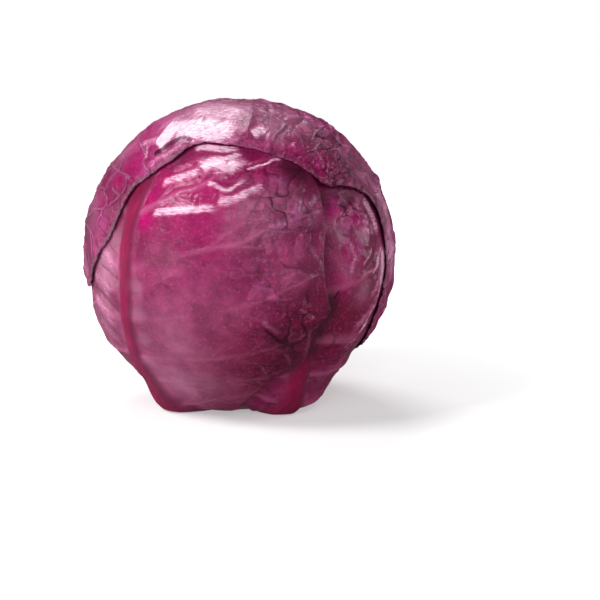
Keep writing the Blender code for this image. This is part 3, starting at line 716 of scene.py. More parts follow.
frontLeaf = dict(
    plainLeaf, piece="frontLeaf", node="leaf_front", slot="satin_leaf", middle=(-44, -2),
    veins=8, grid=91, seed=14, curl=0.0011, waves=9, relief=0.0011, ragged=0.0002,
    rib=[(-60, -79), (-61, -62), (-60, -54), (-51, -37), (-46, -22), (-43.8, -4), (-44.4, 10),
         (-44.6, 28), (-43, 52)],
    left=[(-106, -76), (-108, -66), (-112, -50), (-114, -32), (-116, -12), (-115, 12),
          (-104, 38), (-82, 58), (-40, 70)],
    right=[(-8, -76), (2, -64), (14, -50), (23, -38), (27, -30.5), (28.5, -23), (32, -16),
           (32.5, -11), (30.6, -4), (30.6, 5), (32, 16), (34.5, 27), (33, 40), (18, 56),
           (-40, 70)],
    ribSize=[(0.0120, 0.0046), (0.0040, 0.0015), (0.0080, 0.0010)],
    lifts=[(31, -11, 0.0012, 0.007)],
    hugs=[(33, 30, 1.0, 0.022), (31, 8, 1.0, 0.022), (30, -24, 1.0, 0.014), (18, -46, 1.0, 0.020),
          (2, -62, 1.0, 0.020)],
    calm=[(-26, -22, 1.0, 0.030), (-28, 6, 1.0, 0.022), (-12, -8, 1.0, 0.026),
          (-16, -45, 1.0, 0.03),
          (-30, -40, 1.0, 0.02), (0, -25, 0.8, 0.02)],
    wrinkles=[(16, 22, 1.0, 0.024), (20, -18, 1.0, 0.022), (6, 30, 0.8, 0.018),
              (14, 2, 0.8, 0.020),
              (8, -38, 0.7, 0.018), (22, 36, 0.9, 0.016)],
    netSize=0.0110, netHeight=0.00008, netWidth=0.0008, netDish=0.00006, cellTilt=0.022,
    facetSize=0.026, facetTilt=0.040, facetGroove=0.00012,
    round=[
        ([(-34, -7), (-25, 0), (-12, 3)], 0.0006, 0.0022),
        ([(-34, 22), (-20, 23.8), (-6, 23.5)], 0.0007, 0.0030),
        ([(-34, 28), (-20, 30), (-8, 30)], -0.0004, 0.0040),
        ([(-35, 33), (-21, 37), (-8, 40), (3, 40)], 0.0010, 0.0040),
        ([(-24, 45.5), (-16, 46.3), (-3, 46.6)], -0.0006, 0.0018),
        ([(-14, 36), (-6, 35.5), (1, 36)], -0.0004, 0.0030),
        ([(4, 47), (7, 43), (6, 36), (9, 31)], -0.0006, 0.0020),
        ([(12, 40), (13, 36), (12, 31)], -0.0007, 0.0014),
        ([(14, -17), (20, -18.5), (25, -18)], -0.0007, 0.0014),
        ([(16, 20), (21, 18), (28, 20)], -0.0005, 0.0010),
        ([(9, 27), (13, 23), (16, 20), (20, 13)], -0.0005, 0.0008),
        ([(-60, 13), (-54, 8), (-48, 4.3)], -0.0009, 0.0012),
        ([(-66, 2), (-57.6, -0.4), (-47, -4)], -0.0009, 0.0013),
        ([(-74, -7), (-60, -11), (-48, -15)], -0.0009, 0.0013),
        ([(-72, -21), (-61, -26), (-51, -30)], -0.0008, 0.0013),
        ([(-68, 9), (-56, 7), (-47, 1)], 0.0007, 0.0022),
        ([(-74, -2), (-60, -5), (-48, -9)], 0.0008, 0.0024),
        ([(-74, -14), (-60, -19), (-50, -23)], 0.0008, 0.0024),
    ] + [(path, height, half) for path, height, half, _, _ in puckers],
    sharp=[
        ([(-14, 34), (-7, 31.2), (-4, 30.8), (0, 33), (3, 37)], 0.0010, 0.0040),
        ([(-9, 26.5), (-3, 27), (2, 28.6), (7, 31.5), (12, 34)], 0.0011, 0.0050),
        ([(4, 39.5), (9, 40.8), (11, 40.5), (14, 42.3), (18, 43.8), (23, 44)], 0.0011, 0.0036),
        ([(5, -14.5), (9, -17), (12, -20), (15, -23), (19, -26)], -0.0012, 0.0050),
        ([(32.5, -12), (31, -17), (29, -21), (26, -26)], -0.0013, 0.0050),
        ([(24.8, -0.5), (24.0, -4), (23.4, -9)], -0.0006, 0.0040),
    ],
    # strokes of painted highlight
    shine=[
        ([(-35, 22.2), (-28, 22.8), (-20, 24.0), (-12, 24.6), (-4, 25)], 0.0021, 0.85),
        ([(-32, 25), (-24, 26), (-15, 26.8)], 0.0030, 0.30),
        ([(-35, 33), (-28, 35), (-21, 37), (-12, 39.8)], 0.0028, 0.72),
        ([(-18, 39), (-12, 41.8), (-6, 41), (0, 41), (4, 39)], 0.0056, 0.85),
        ([(-14, 44.3), (-6, 44.6), (0, 46.5), (4, 48.3)], 0.0022, 0.85),
        ([(-25, 48), (-18, 49.5), (-8, 49), (4, 49)], 0.0022, 0.85),
        ([(-14, 34), (-10, 33), (-7, 31.4), (-4, 30.8), (-1, 32.5), (2, 34.5), (3, 38)],
         0.0013, 0.8),
        ([(-9, 26.6), (-3, 27.2), (2, 28.8), (7, 31.5), (12, 34)], 0.0026, 0.7),
        ([(3, 39.4), (7, 40.2), (12, 41.6)], 0.0008, 0.8),
        ([(9, 40.4), (14, 42.4), (18, 44), (23.5, 43.4)], 0.0010, 0.8),
        ([(-31, 38.5), (-24, 41), (-19, 43)], 0.0020, 0.4), ([(-8, 35.5), (-4, 36)], 0.0010, 0.5),
        ([(-49.2, 17), (-48.8, 10), (-48.2, 1), (-48.4, -4)], 0.0007, 0.20),
    ] + [(path, half, strength) for path, half, strength, _, _ in paleGaps],
    veils=[(path, half, strength) for path, _, _, half, strength in puckers + paleGaps] + [
        ([(-57, 15), (-52, 11), (-49.5, 8)], 0.0028, 0.7),
        ([(-39.3, 2), (-38.6, -14), (-40, -28), (-46, -42)], 0.0044, 0.45),
    ],
    haze=[(-28, -26, 0.6, 0.024), (-14, -12, 0.25, 0.022), (-32, -48, 0.9, 0.022),
          (6, 20, 0.5, 0.016), (14, 26, 0.5, 0.010), (24, 26, 0.5, 0.007), (28, 21, 0.4, 0.007),
          (18, 6, 0.3, 0.014), (-39, -14, 1.0, 0.006), (-38.5, -24, 1.0, 0.006),
          (-39, -4, 0.8, 0.005), (-43, -36, 0.9, 0.007), (-60, 0, 1.0, 0.018),
          (-64, -20, 1.0, 0.020)],
    hot=[(-37, 19.5, 1.0, 0.006), (-38, 27, 0.8, 0.008), (-36, 36, 0.8, 0.012),
         (-36, 44, 0.6, 0.010), (-16, 31, 0.7, 0.024), (9, 44, 0.8, 0.008),
         (9, 37, 0.5, 0.008), (16, 8, 0.5, 0.008), (-6, 22, 0.5, 0.005)],
    dark=[(18, -25, 1.0, 0.012), (20, -32, 1.0, 0.014), (12, -40, 0.7, 0.012),
          (13, -22, 0.8, 0.006), (33, -12, 1.0, 0.006),
          (30, -19, 0.9, 0.008), (24.5, -5, 0.6, 0.005), (12, -31, 0.6, 0.012),
          (22.5, 3, 0.5, 0.006),
          (28, -26, 0.8, 0.009), (26, 38, 0.7, 0.008), (27, 29, 0.5, 0.006), (6, 45, 0.4, 0.006),
          (-33, 46, 0.5, 0.007)],
    red=[(22, -18, 1.0, 0.020), (10, -34, 1.0, 0.028), (-6, -56, 0.5, 0.02), (29, -7, 0.7, 0.010),
         (12, -22, 0.8, 0.014), (18, -46, 1.0, 0.024), (2, -24, 0.5, 0.014),
         (-44, 27, 0.8, 0.012), (-43, 38, 0.8, 0.010)],
)
capLeaf = dict(
    plainLeaf, piece="capLeaf", node="leaf_cap", slot="pale_leaf", middle=(170, 34), veins=9,
    grid=96, seed=15, curl=0.0004, waves=11, relief=0.0014, ragged=0.0005, hug=0.5,
    rib=[(172, -79), (172, -55), (171, -20), (170, 20), (168, 60), (170, 84)],
    left=[(136, -76), (133, -66), (122, -57), (108, -50), (94, -44), (81, -38), (71, -31),
          (66.5, -22), (68.5, -12), (70, -3), (69.5, 6), (68.5, 17), (64, 25), (52, 30.5),
          (40, 32), (34.5, 36), (29, 41), (17, 46), (4, 49.5), (-6, 50.5)],
    right=[(-150, -76), (-146, -67), (-139, -57), (-130, -45), (-121, -34), (-111, -23),
           (-99, -14), (-86, -9.5), (-76, -10), (-70, -6.5), (-66, -1), (-62.5, 3.5),
           (-56, 10.5), (-52, 19), (-48, 30), (-41, 36.5), (-33, 42.5), (-25, 49.5),
           (-15, 51.3), (-6, 50.5)],
    ribSize=[(0.0120, 0.0044), (0.0042, 0.0030), (0.0020, 0.0010)],
    lifts=[(66, 18, 0.0006, 0.016), (110, -50, 0.0012, 0.016), (-126, -40, 0.0016, 0.018)],
    hugs=[(10, 48, 1.0, 0.020), (30, 40, 1.0, 0.018), (44, 32, 0.8, 0.014), (-56, 12, 0.7, 0.016)],
    calm=[(-24, 60, 1.0, 0.036), (26, 62, 0.8, 0.014), (-58, 44, 1.0, 0.018),
          (-60, 30, 1.0, 0.016),
          (-66, 12, 1.0, 0.018), (44, 46, 0.6, 0.014)],
    wrinkles=[(50, 42, 1.0, 0.024), (64, 52, 1.0, 0.026), (76, 20, 0.6, 0.014),
              (38, 50, 0.8, 0.018),
              (84, 40, 0.8, 0.024)],
    netSize=0.0105, netHeight=0.00038, netWidth=0.00080, netDish=0.00030, cellTilt=0.075,
    facetSize=0.019, facetTilt=0.110, facetGroove=0.00015,
    round=[
        ([(-43, 40.6), (-39, 42.6), (-34.5, 45.6), (-30, 48.6), (-25, 49.8)], 0.0013, 0.0019),
        ([(-22, 57.5), (-19.3, 58.2), (-17.2, 58.5)], -0.0006, 0.0014),
        ([(-30.8, 67.9), (-27, 63.6), (-26.4, 60.7)], -0.0006, 0.0012),
        ([(-8.6, 65.9), (-13.5, 61.6), (-16.9, 59.6)], -0.0006, 0.0014),
        ([(-47.7, 59.3), (-40, 56.5), (-32.2, 52.3)], -0.0007, 0.0010),
    ],
    sharp=[
        ([(21.2, 77), (15.2, 70.4), (10.9, 64.6), (8.3, 60.4), (5.4, 56.7), (1.7, 53.3)],
         0.0008, 0.0070),
        ([(-46, 46.6), (-48.6, 51.2), (-50.2, 55.3), (-51, 59.1), (-62, 65)], 0.0011, 0.0055),
    ],
    step=[
        ([(-46, 42.6), (-41.5, 45.6), (-38, 49), (-33, 52), (-24, 50.6)], 0.0026, 0.0048),
        ([(17, 68.6), (24.4, 65.1), (32, 62.9), (38, 60.7)], 0.0010, 0.0060),
        ([(38, 60.7), (29.4, 57.2), (24.5, 55), (21.7, 52.8), (19.9, 50.7)], -0.0007, 0.0060),
        ([(37.6, 60.7), (39, 56), (38.3, 51.9), (36.3, 47.7), (36.8, 45.7)], 0.0013, 0.0050),
        ([(-49.2, 42.5), (-46.8, 44), (-45.7, 45.6), (-46.1, 47)], 0.0012, 0.0024),
    ],
    ridges=[
        ([(-71.4, 49.1), (-61, 47), (-53.7, 44.5), (-49.2, 42.5)], 0.0008, 0.0011),
        ([(-49.2, 42.5), (-48.6, 40), (-45.5, 38.4), (-41.2, 36.5)], 0.0006, 0.0010),
        ([(-50.5, 32.5), (-56.8, 34.5), (-60.3, 34.8), (-64.1, 34.7), (-67.3, 31.9),
          (-69.2, 27.3)], 0.0009, 0.0009),
        ([(-64.1, 34.7), (-73.1, 35.8), (-88, 36)], 0.0007, 0.0010),
        ([(-69.2, 27.3), (-75.1, 26.9), (-84.8, 26.4)], 0.0008, 0.0009),
        ([(-69.2, 27.3), (-67.5, 25.8), (-63.3, 24.4), (-59.4, 21.8)], 0.0008, 0.0009),
        ([(-63.3, 29.2), (-60.5, 27.8), (-56.9, 27), (-53.5, 26.5)], 0.0006, 0.0008),
        ([(-56.8, 34.5), (-52.5, 31.6), (-52.4, 28.7), (-53.5, 26.5)], 0.0007, 0.0009),
        ([(-53.5, 26.5), (-55.8, 24.6), (-59.4, 21.8)], 0.0006, 0.0009),
        ([(-73.6, 43.7), (-71.6, 41.3), (-66.4, 38.4), (-64.1, 34.7)], 0.0006, 0.0010),
        ([(-63.3, 24.4), (-60.9, 23), (-62.9, 21.1), (-63.6, 18.6), (-65.2, 14.4)],
         0.0008, 0.0008),
        ([(-65.2, 14.4), (-60.1, 12.7), (-56.7, 11.6)], 0.0008, 0.0009),
        ([(-83.7, 12.9), (-69.9, 11.3), (-64.9, 9.3), (-61.1, 7.1)], 0.0009, 0.0009),
        ([(-73.3, 12.4), (-68.6, 9.1), (-66.2, 5.5), (-64.7, 2.6)], 0.0008, 0.0008),
        ([(-62.9, 21.1), (-66.5, 19.9), (-73, 19.4), (-75.4, 17.4), (-83.7, 12.9)],
         0.0008, 0.0009),
        ([(-63.6, 18.6), (-58.7, 17.2), (-54.7, 15.8)], 0.0007, 0.0009),
        ([(-78.7, 6.7), (-73.4, 3.6), (-70, -0.6), (-68.8, -4.4)], 0.0009, 0.0009),
        ([(38, 60.7), (29.4, 57.2), (24.5, 55), (21.7, 52.8), (19.9, 50.7)], 0.0004, 0.0008),
        ([(30.8, 75.3), (32.9, 68.1), (38, 60.7)], 0.0006, 0.0010),
        ([(37.6, 60.7), (39.2, 54.5), (38.3, 51.9), (36.3, 47.7)], 0.0004, 0.0008),
        ([(50.4, 48.3), (48.8, 43.8), (46.1, 40.1), (42.1, 36.3), (41.1, 33.3)], 0.0006, 0.0008),
        ([(41, 33.3), (44.8, 33), (48.4, 34), (49, 37.1), (48.8, 38.5)], 0.0006, 0.0008),
        ([(48.4, 34), (56.6, 34.5), (61.7, 34.4), (61.3, 32.2)], 0.0006, 0.0008),
        ([(48.8, 43.8), (55.9, 44.7), (57.2, 41.5), (59.6, 36), (63.2, 29.8)], 0.0006, 0.0008),
        ([(36.8, 45.7), (41.4, 45.8), (50.4, 48.3)], 0.0005, 0.0008),
        ([(39.2, 54.5), (43.5, 53.3), (46.5, 50.8), (50.4, 48.3)], 0.0006, 0.0008),
        ([(70.7, 53.6), (67.5, 49.7), (65, 45.4), (64.8, 42.3), (62.9, 38.1)], 0.0006, 0.0008),
        ([(46.5, 50.8), (59.5, 54.6), (76.4, 55.1)], 0.0006, 0.0008),
    ],
    # strokes of painted highlight
    shine=[
        ([(-45, 46), (-45, 51), (-47, 58), (-54, 63)], 0.0072, 0.90),
        ([(-62, 47), (-54, 49), (-48, 52)], 0.0034, 0.50),
        ([(-62, 56), (-56, 60), (-48, 66)], 0.0040, 0.45),
        ([(-44, 54), (-32, 57.5), (-18, 57.5), (-4, 57), (7, 56)], 0.0110, 0.80),
        ([(-50, 66), (-30, 69), (0, 68), (12, 67)], 0.0085, 0.60),
        ([(8, 54), (14, 57), (21, 58)], 0.0042, 0.75),
        ([(-54, 47), (-49.2, 42.5), (-48, 40)], 0.0012, 0.55),
        ([(-45, 39), (-38, 43.4), (-33, 47), (-25, 50.4)], 0.0022, 0.50),
        ([(72, 30), (77, 16), (77, 6), (76, -6), (73, -16)], 0.0056, 0.46),
        ([(84, 22), (86, 10), (84, -4)], 0.0060, 0.16),
        ([(-70, 12), (-66, 6), (-68, 0)], 0.0030, 0.20),
    ],
    haze=[(76, 22, 0.8, 0.012), (74, 4, 0.8, 0.012), (30, 62, 0.9, 0.014), (48, 58, 0.6, 0.016),
          (-24, 72, 0.9, 0.024), (6, 74, 0.8, 0.018), (40, 68, 0.7, 0.016),
          (70, 36, 0.6, 0.018), (24, 54, 0.6, 0.008),
          (-80, 16, 0.6, 0.014), (-76, -1, 0.6, 0.010), (-76, 42, 0.5, 0.012)],
    dark=[(56, 38, 0.3, 0.018), (-68, 28, 0.6, 0.026), (-78, 14, 0.7, 0.014),
          (-72, 0, 0.6, 0.012)],
    hot=[(-60, 31, 0.9, 0.005), (-57, 38, 0.6, 0.007), (-63, 24, 0.5, 0.004), (44, 56, 0.5, 0.005),
         (41, 60, 0.5, 0.004), (32, 49, 0.4, 0.008), (43, 40, 0.4, 0.005), (-66, 50, 0.5, 0.008)],
    dry=[(-36, 45, 0.6, 0.012), (-46, 33, 1.0, 0.012), (-54, 16, 1.0, 0.014), (-66, 0, 0.8, 0.014),
         (66, 20, 0.5, 0.02), (70, -10, 0.5, 0.03)],
)
leaves = [backLeaf, leftLeaf, rightLeaf, frontLeaf, capLeaf]
for leaf in leaves:
    layOut(leaf)


class Wire:
    # A socket of a node tree. + - and * on it add Math nodes, add() any other node.
    def __init__(self, tree, socket=None):
        self.tree, self.socket = tree, socket

    def add(self, kind, settings, inputs, output=0):
        node = self.tree.nodes.new("ShaderNode" + kind)
        for key, value in settings.items():
            setattr(node, key, value)
        for key, value in inputs.items():
            if isinstance(value, Wire):
                self.tree.links.new(value.socket, node.inputs[key])
            else:
                node.inputs[key].default_value = value
        return Wire(self.tree, node.outputs[output])

    def math(self, operation, *values):
        return self.add("Math", dict(operation=operation), dict(enumerate(values)))

    def __add__(self, other): return self.math("ADD", self, other)
    def __radd__(self, other): return self.math("ADD", other, self)
    def __sub__(self, other): return self.math("SUBTRACT", self, other)
    def __rsub__(self, other): return self.math("SUBTRACT", other, self)
    def __mul__(self, other): return self.math("MULTIPLY", self, other)
    def __rmul__(self, other): return self.math("MULTIPLY", other, self)

    def rise(self, low, high):
        # 0 up to low, 1 from high, smooth between
        return self.add("MapRange", dict(interpolation_type="SMOOTHSTEP"),
                        {0: self, 1: low, 2: high})

    def blend(self, a, b):
        # colour a where this is 0 and b where it is 1
        def full(colour): return colour if isinstance(colour, Wire) else (*colour, 1)
        return self.add("Mix", dict(data_type="RGBA"), {0: self, 6: full(a), 7: full(b)}, 2)

    def vector(self, operation, other=(0, 0, 0), output=0):
        return self.add("VectorMath", dict(operation=operation), {0: self, 1: other}, output)

    def scaled(self, factors):
        return self.vector("MULTIPLY", factors)

    def noise(self, size, detail=3.0, roughness=0.5):
        # smooth noise whose lumps are this size, about 0 to 1
        return self.add("TexNoise", {}, {"Vector": self, "Scale": 1 / size, "Detail": detail,
                                         "Roughness": roughness}, "Fac")

    def cells(self, size):
        # distance from the borders of irregular cells of this size, as a share of it
        return self.add("TexVoronoi", dict(feature="DISTANCE_TO_EDGE"),
                        {"Vector": self, "Scale": 1 / size}, "Distance")


def newMaterial(name):
    material = bpy.data.materials.new(name)
    material.use_nodes = True
    material.node_tree.nodes.clear()
    return material, Wire(material.node_tree)


def finishMaterial(material, start, shader):
    out = material.node_tree.nodes.new("ShaderNodeOutputMaterial")
    material.node_tree.links.new(shader.socket, out.inputs["Surface"])
    return material


# Noises of the leaves' skin: size of the lumps, detail and roughness.
lumps = dict(
    broad=(0.024, 3, 0.55), middle=(0.0065, 4, 0.6), speck=(0.0011, 3, 0.6),
    blotch=(0.0055, 4, 0.65), lilac=(0.0085, 3, 0.6), streak=(0.0010, 3, 0.6),
    brushed=(0.0009, 3, 0.6), warp=220.0, warpFar=0.0016, bendFar=0.0034,
)


def leafSkin(name, look):
    # Waxy leaf: mottled ground, pale or red veins, wax haze with painted sheen, painted
    # highlights, painted shade in the creases and a dry grey rim. Masks come from the mesh, fine
    # detail from noise.
    material, start = newMaterial(name)
    at = start.add("TexCoord", {}, {}, "Object")
    sheet = (head["sheet"], head["sheet"], 0.0)
    flat = start.add("UVMap", dict(uv_map="leafPlane"), {}).scaled(sheet)
    def mask(key): return start.add("Attribute", dict(attribute_name=key), {}, "Fac")
    rib, vein, haze, hot, dark, red, rim, under, dry, crumple, ribSide, shine = (
        mask(key) for key in ("rib", "vein", "haze", "hot", "dark", "red", "rim", "under", "dry",
                              "crumple", "ribSide", "shine"))
    net, crease = mask("net").rise(0.50, 0.88), mask("crease").rise(0.45, 0.90)
    wrinkle = mask("wrinkle").rise(0.35, 0.95)
    broad, middle, speck = (at.noise(*lumps[key]) for key in ("broad", "middle", "speck"))
    # fine net, and facets with a lean and a tone of their own, the tone also painted light and
    # shade of the tilted facets, and a dark seam of painted shade between them
    shift = at.add("TexNoise", {}, {"Vector": at, "Scale": lumps["warp"], "Detail": 2.0}, "Color")
    warped = at.vector("ADD", shift.scaled([lumps["warpFar"]] * 3))
    bent = at.vector("ADD", shift.scaled([lumps["bendFar"]] * 3))
    line = 1 - warped.cells(look["cell"]).rise(0.0, look["cellLine"])
    cell = {"Vector": bent, "Scale": 1 / look["facet"]}
    tone = start.add("TexVoronoi", {}, cell, "Color")
    offset = bent.vector("SUBTRACT", start.add("TexVoronoi", {}, cell, "Position"))
    lean = tone.vector("SUBTRACT", (0.5, 0.5, 0.5)).vector("DOT_PRODUCT", offset, "Value")
    skin = 1 - rib
    plain = 1 - start.math("MINIMUM", 1.2 * shine, 1.0)
    facets = look["facets"] * (0.25 + 0.75 * crumple) * plain
    # in crumpled skin, pale flecks are painted glints and dark ones small specks
    specksAndGlints = look["fleck"] * crumple * plain
    # painted shade in the seams between the facets
    seam = 1 - bent.cells(look["facet"]).rise(0.0, 0.07)
    seam = seam * look["seams"] * (0.15 + 0.85 * crumple) * middle.rise(0.42, 0.56) * plain * skin
    # stains, lilac bloom, and wax bloom that is painted sheen too under the haze patches and veils
    patch = (0.55 * broad + 0.45 * middle).rise(0.38, 0.62)
    mottled = look["mottle"] + (0.85 - look["mottle"]) * crumple
    blotch = warped.noise(*lumps["blotch"])
    lilac = warped.scaled((1.0, 1.0, -1.0)).noise(*lumps["lilac"]).rise(0.50, 0.66)
    clear = (1 - dark.rise(0.0, 0.5)) * (1 - red.rise(0.0, 0.5))
    # wax bloom, and painted sheen where the haze patches and veils lie
    wax = haze * (0.45 + 0.9 * broad.rise(0.35, 0.65) * middle) + look["wax"] * patch
    wax = start.math("MINIMUM", wax, 1.0)
    # midrib with streaks along it, painted shade on one side and a painted highlight on the other
    streaks = flat.scaled((1.0, 0.10, 1.0)).noise(*lumps["streak"])
    ribColour = streaks.rise(0.35, 0.70).blend(look["rib"], look["ribStreak"])
    ribColour = (0.80 * ribSide.rise(0.50, 0.95)).blend(ribColour, look["deep"])
    ribLight = 0.12 * (1 - ribSide.rise(0.0, 0.40)) * (0.4 + middle)
    ribColour = ribLight.blend(ribColour, look["veinColour"])
    # painted shade in the creases, under upper leaves and in the wrinkles' grooves, dry edge,
    # and brushed streaks of painted highlight
    shade = crease + 0.8 * dark * (0.4 + middle) + 0.35 * under + look["wrinkled"] * wrinkle
    shade = shade.rise(0.0, 1.1)
    edge = 1 - (rim + 0.05 * (middle - 0.5)).rise(look["rimWidth"] * 0.3, look["rimWidth"])
    edge = edge * (look["rimPlain"] + (1 - look["rimPlain"]) * dry)
    edgeColour = speck.rise(0.3, 0.7).blend(look["rimDark"], look["rimPale"])
    brushed = flat.add("Mapping", {}, {"Vector": flat, "Rotation": (0, 0, look["grainTurn"]),
                                       "Scale": (0.22, 1.0, 1.0)}).noise(*lumps["brushed"])
    # painted highlight: pale brushed streaks laid into the colour along the shine strokes
    gleam = (shine + look["streaky"] * (brushed - 0.5) + 0.4 * (middle - 0.5)).rise(0.05, 1.0)
    gleam = gleam * shine.rise(0.0, 0.30)
    gleamColour = gleam.rise(0.45, 0.95).blend(look["shineColour"], look["glint"])
    colour = patch.blend(look["deep"], look["ground"])
    for amount, layer in (  # from the lowest to the topmost
            (red * (0.5 + middle), look["red"]),
            (mottled * (1 - blotch.rise(0.40, 0.54)), look["stainAndShade"]),
            (0.75 * mottled * lilac * clear, look["lilac"]),
            (facets * tone.rise(0.55, 0.80) * clear, look["pale"]),
            (0.90 * facets * (1 - tone.rise(0.25, 0.50)), look["deep"]),
            (specksAndGlints * speck.rise(0.54, 0.66), look["pale"]),
            (specksAndGlints * (1 - speck.rise(0.36, 0.47)), look["stainAndShade"]),
            (seam, look["stainAndShade"]),
            (hot * (0.5 + middle), look["hot"]),
            (look["speckle"] * speck.rise(0.52, 0.72), look["pale"]),
            (look["lineTint"] * line * skin, look["deep"]),
            (look["netTint"] * net * skin * (1 - crumple), look["net"]),
            (0.55 * net * crumple, look["shade"]),
            (look["veinTint"] * vein * skin, look["veinColour"]),
            (look["ribTint"] * rib, ribColour),
            (look["waxAndSheenTint"] * wax * (1 - 0.65 * rib), look["waxAndSheenColour"]),
            (shade, look["shade"]),
            (look["rimTint"] * edge, edgeColour),
            (look["gleam"] * gleam, gleamColour),
            # painted shade along the creases, over the painted highlights
            (0.75 * crease * shine.rise(0.0, 0.4), look["creaseShade"])):
        colour = amount.blend(colour, layer)
    rough = look["rough"] + 0.10 * wax + 0.14 * (middle - 0.5) + 0.20 * edge + 0.15 * shade
    rough = rough - 0.10 * gleam + 0.55 * rib - 0.12 * hot
    height = 0.00012 * middle + 0.00003 * speck + look["cellHeight"] * line
    height = height + 0.00008 * streaks * rib + look["grain"] * brushed
    height = height + look["facetBump"] * facets * lean - look["seamBump"] * seam
    height = height + look["netBump"] * net - 0.00025 * crease
    normal = start.add("Bump", {}, {"Strength": 1.0, "Distance": 1.0, "Height": height})
    shader = start.add("BsdfPrincipled", {}, {
        "Base Color": colour, "Roughness": start.math("MAXIMUM", rough, 0.12), "Normal": normal,
        "IOR": 1.45, "Specular IOR Level": look["specular"]})
    return finishMaterial(material, start, shader)


satinLook = dict(
    # colours
    deep=(0.120, 0.006, 0.040), ground=(0.240, 0.012, 0.084), pale=(0.38, 0.09, 0.21),
    hot=(0.31, 0.001, 0.088), red=(0.125, 0.001, 0.020), stainAndShade=(0.065, 0.002, 0.020),
    lilac=(0.26, 0.075, 0.20), net=(0.30, 0.04, 0.14), veinColour=(0.40, 0.09, 0.20),
    rib=(0.140, 0.001, 0.028), ribStreak=(0.230, 0.002, 0.044), waxAndSheenColour=(0.44, 0.19, 0.30),
    shade=(0.040, 0.002, 0.013), creaseShade=(0.100, 0.014, 0.050), rimDark=(0.045, 0.008, 0.020),
    rimPale=(0.10, 0.03, 0.05), shineColour=(0.56, 0.20, 0.36), glint=(0.74, 0.47, 0.60),
    # how strong each layer is
    mottle=0.0, speckle=0.28, fleck=0.12, lineTint=0.20, netTint=0.15, veinTint=0.5,
    ribTint=0.95, wax=0.0, waxAndSheenTint=0.65, wrinkled=0.85, gleam=0.80, streaky=1.5,
    rimWidth=0.05, rimTint=0.7, rimPlain=0.6,
    # fine net, facets, and the grain of the surface
    cell=0.0034, cellLine=0.12, cellHeight=-0.00003, facet=0.0085, facets=0.36, facetBump=0.30,
    seams=0.75, seamBump=0.00015, netBump=0.00008, grain=0.00012, grainTurn=0.9,
    rough=0.31, specular=0.19,
)
darkLook = dict(
    satinLook, deep=(0.095, 0.003, 0.028), ground=(0.190, 0.006, 0.058), hot=(0.34, 0.004, 0.12),
    veinColour=(0.32, 0.06, 0.14), mottle=0.15, fleck=0.16, netTint=0.25, gleam=0.68,
    streaky=1.4, facet=0.0075, facets=0.55, facetBump=0.35, seams=0.85, netBump=0.00012,
    rough=0.34, specular=0.16,
)
paleLook = dict(
    satinLook, deep=(0.125, 0.002, 0.036), ground=(0.300, 0.011, 0.118), pale=(0.44, 0.08, 0.22),
    net=(0.38, 0.11, 0.25), veinColour=(0.34, 0.09, 0.21), waxAndSheenColour=(0.50, 0.30, 0.41),
    rimDark=(0.060, 0.022, 0.040), rimPale=(0.20, 0.10, 0.15), glint=(0.78, 0.58, 0.69),
    mottle=0.30, speckle=0.35, fleck=0.65, lineTint=0.45, netTint=0.30, veinTint=0.55,
    waxAndSheenTint=0.5, gleam=0.84, streaky=1.3, rimWidth=0.15, rimTint=0.8, rimPlain=0.25,
    cellHeight=-0.00006, facet=0.0080, facets=0.90, facetBump=0.36, seams=0.9,
    seamBump=0.00025, netBump=0.0005, grain=0.00010, grainTurn=0.3, specular=0.15,
)

looks = dict(backLeaf=darkLook, leftLeaf=darkLook, rightLeaf=darkLook, frontLeaf=satinLook,
             capLeaf=paleLook)
for level, leaf in enumerate(leaves, start=1):
    piece = growLeaf(level, leaf)
    piece.data.materials.append(leafSkin(leaf["piece"] + "Skin", looks[leaf["piece"]]))
    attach(piece, "root")
    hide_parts(leaf["node"])


def turnedPiece(name, profile, sides, shape):
    # A surface turned round the axis: profile gives radius and height from one pole to the
    # other, and shape(radius, height, turn) moves the rings. The poles are single points.
    profile = np.asarray(profile, float)
    turn = np.linspace(0, 2 * np.pi, sides, endpoint=False)
    r, z = profile[1:-1, :1], profile[1:-1, 1:]
    rings = shape(r + 0 * turn, z + 0 * turn, turn + 0 * r)
    poles = [(0, 0, profile[0, 1]), (0, 0, profile[-1, 1])]
    points = np.concatenate([rings.reshape(-1, 3), poles])
    rows = len(profile) - 2
    k = np.arange(sides)
    n = (k + 1) % sides
    i = np.arange(rows - 1)[:, None] * sides
    quads = np.stack([i + k, i + n, i + n + sides, i + k + sides], -1).reshape(-1, 4)
    low, high, last = rows * sides, rows * sides + 1, (rows - 1) * sides
    caps = np.concatenate([np.stack([n, k, np.full(sides, low)], -1),
                           np.stack([last + k, last + n, np.full(sides, high)], -1)])
    return meshPiece(name, points, [quads, caps])


def stalkProfile(grow, count):
    r, h = stump["radius"], stump["height"]
    sides = [(r - 0.0008, 0.0), (r, 0.0009), (r - 0.0002, 0.008), (0.92 * r, 0.42 * h),
             (0.76 * r, 0.66 * h), (0.50 * r, 0.86 * h), (0.20 * r, 0.98 * h)]
    side = [(x + grow, z) for x, z in sides] + [(0, h + grow)]
    return smoothLine(side, count)


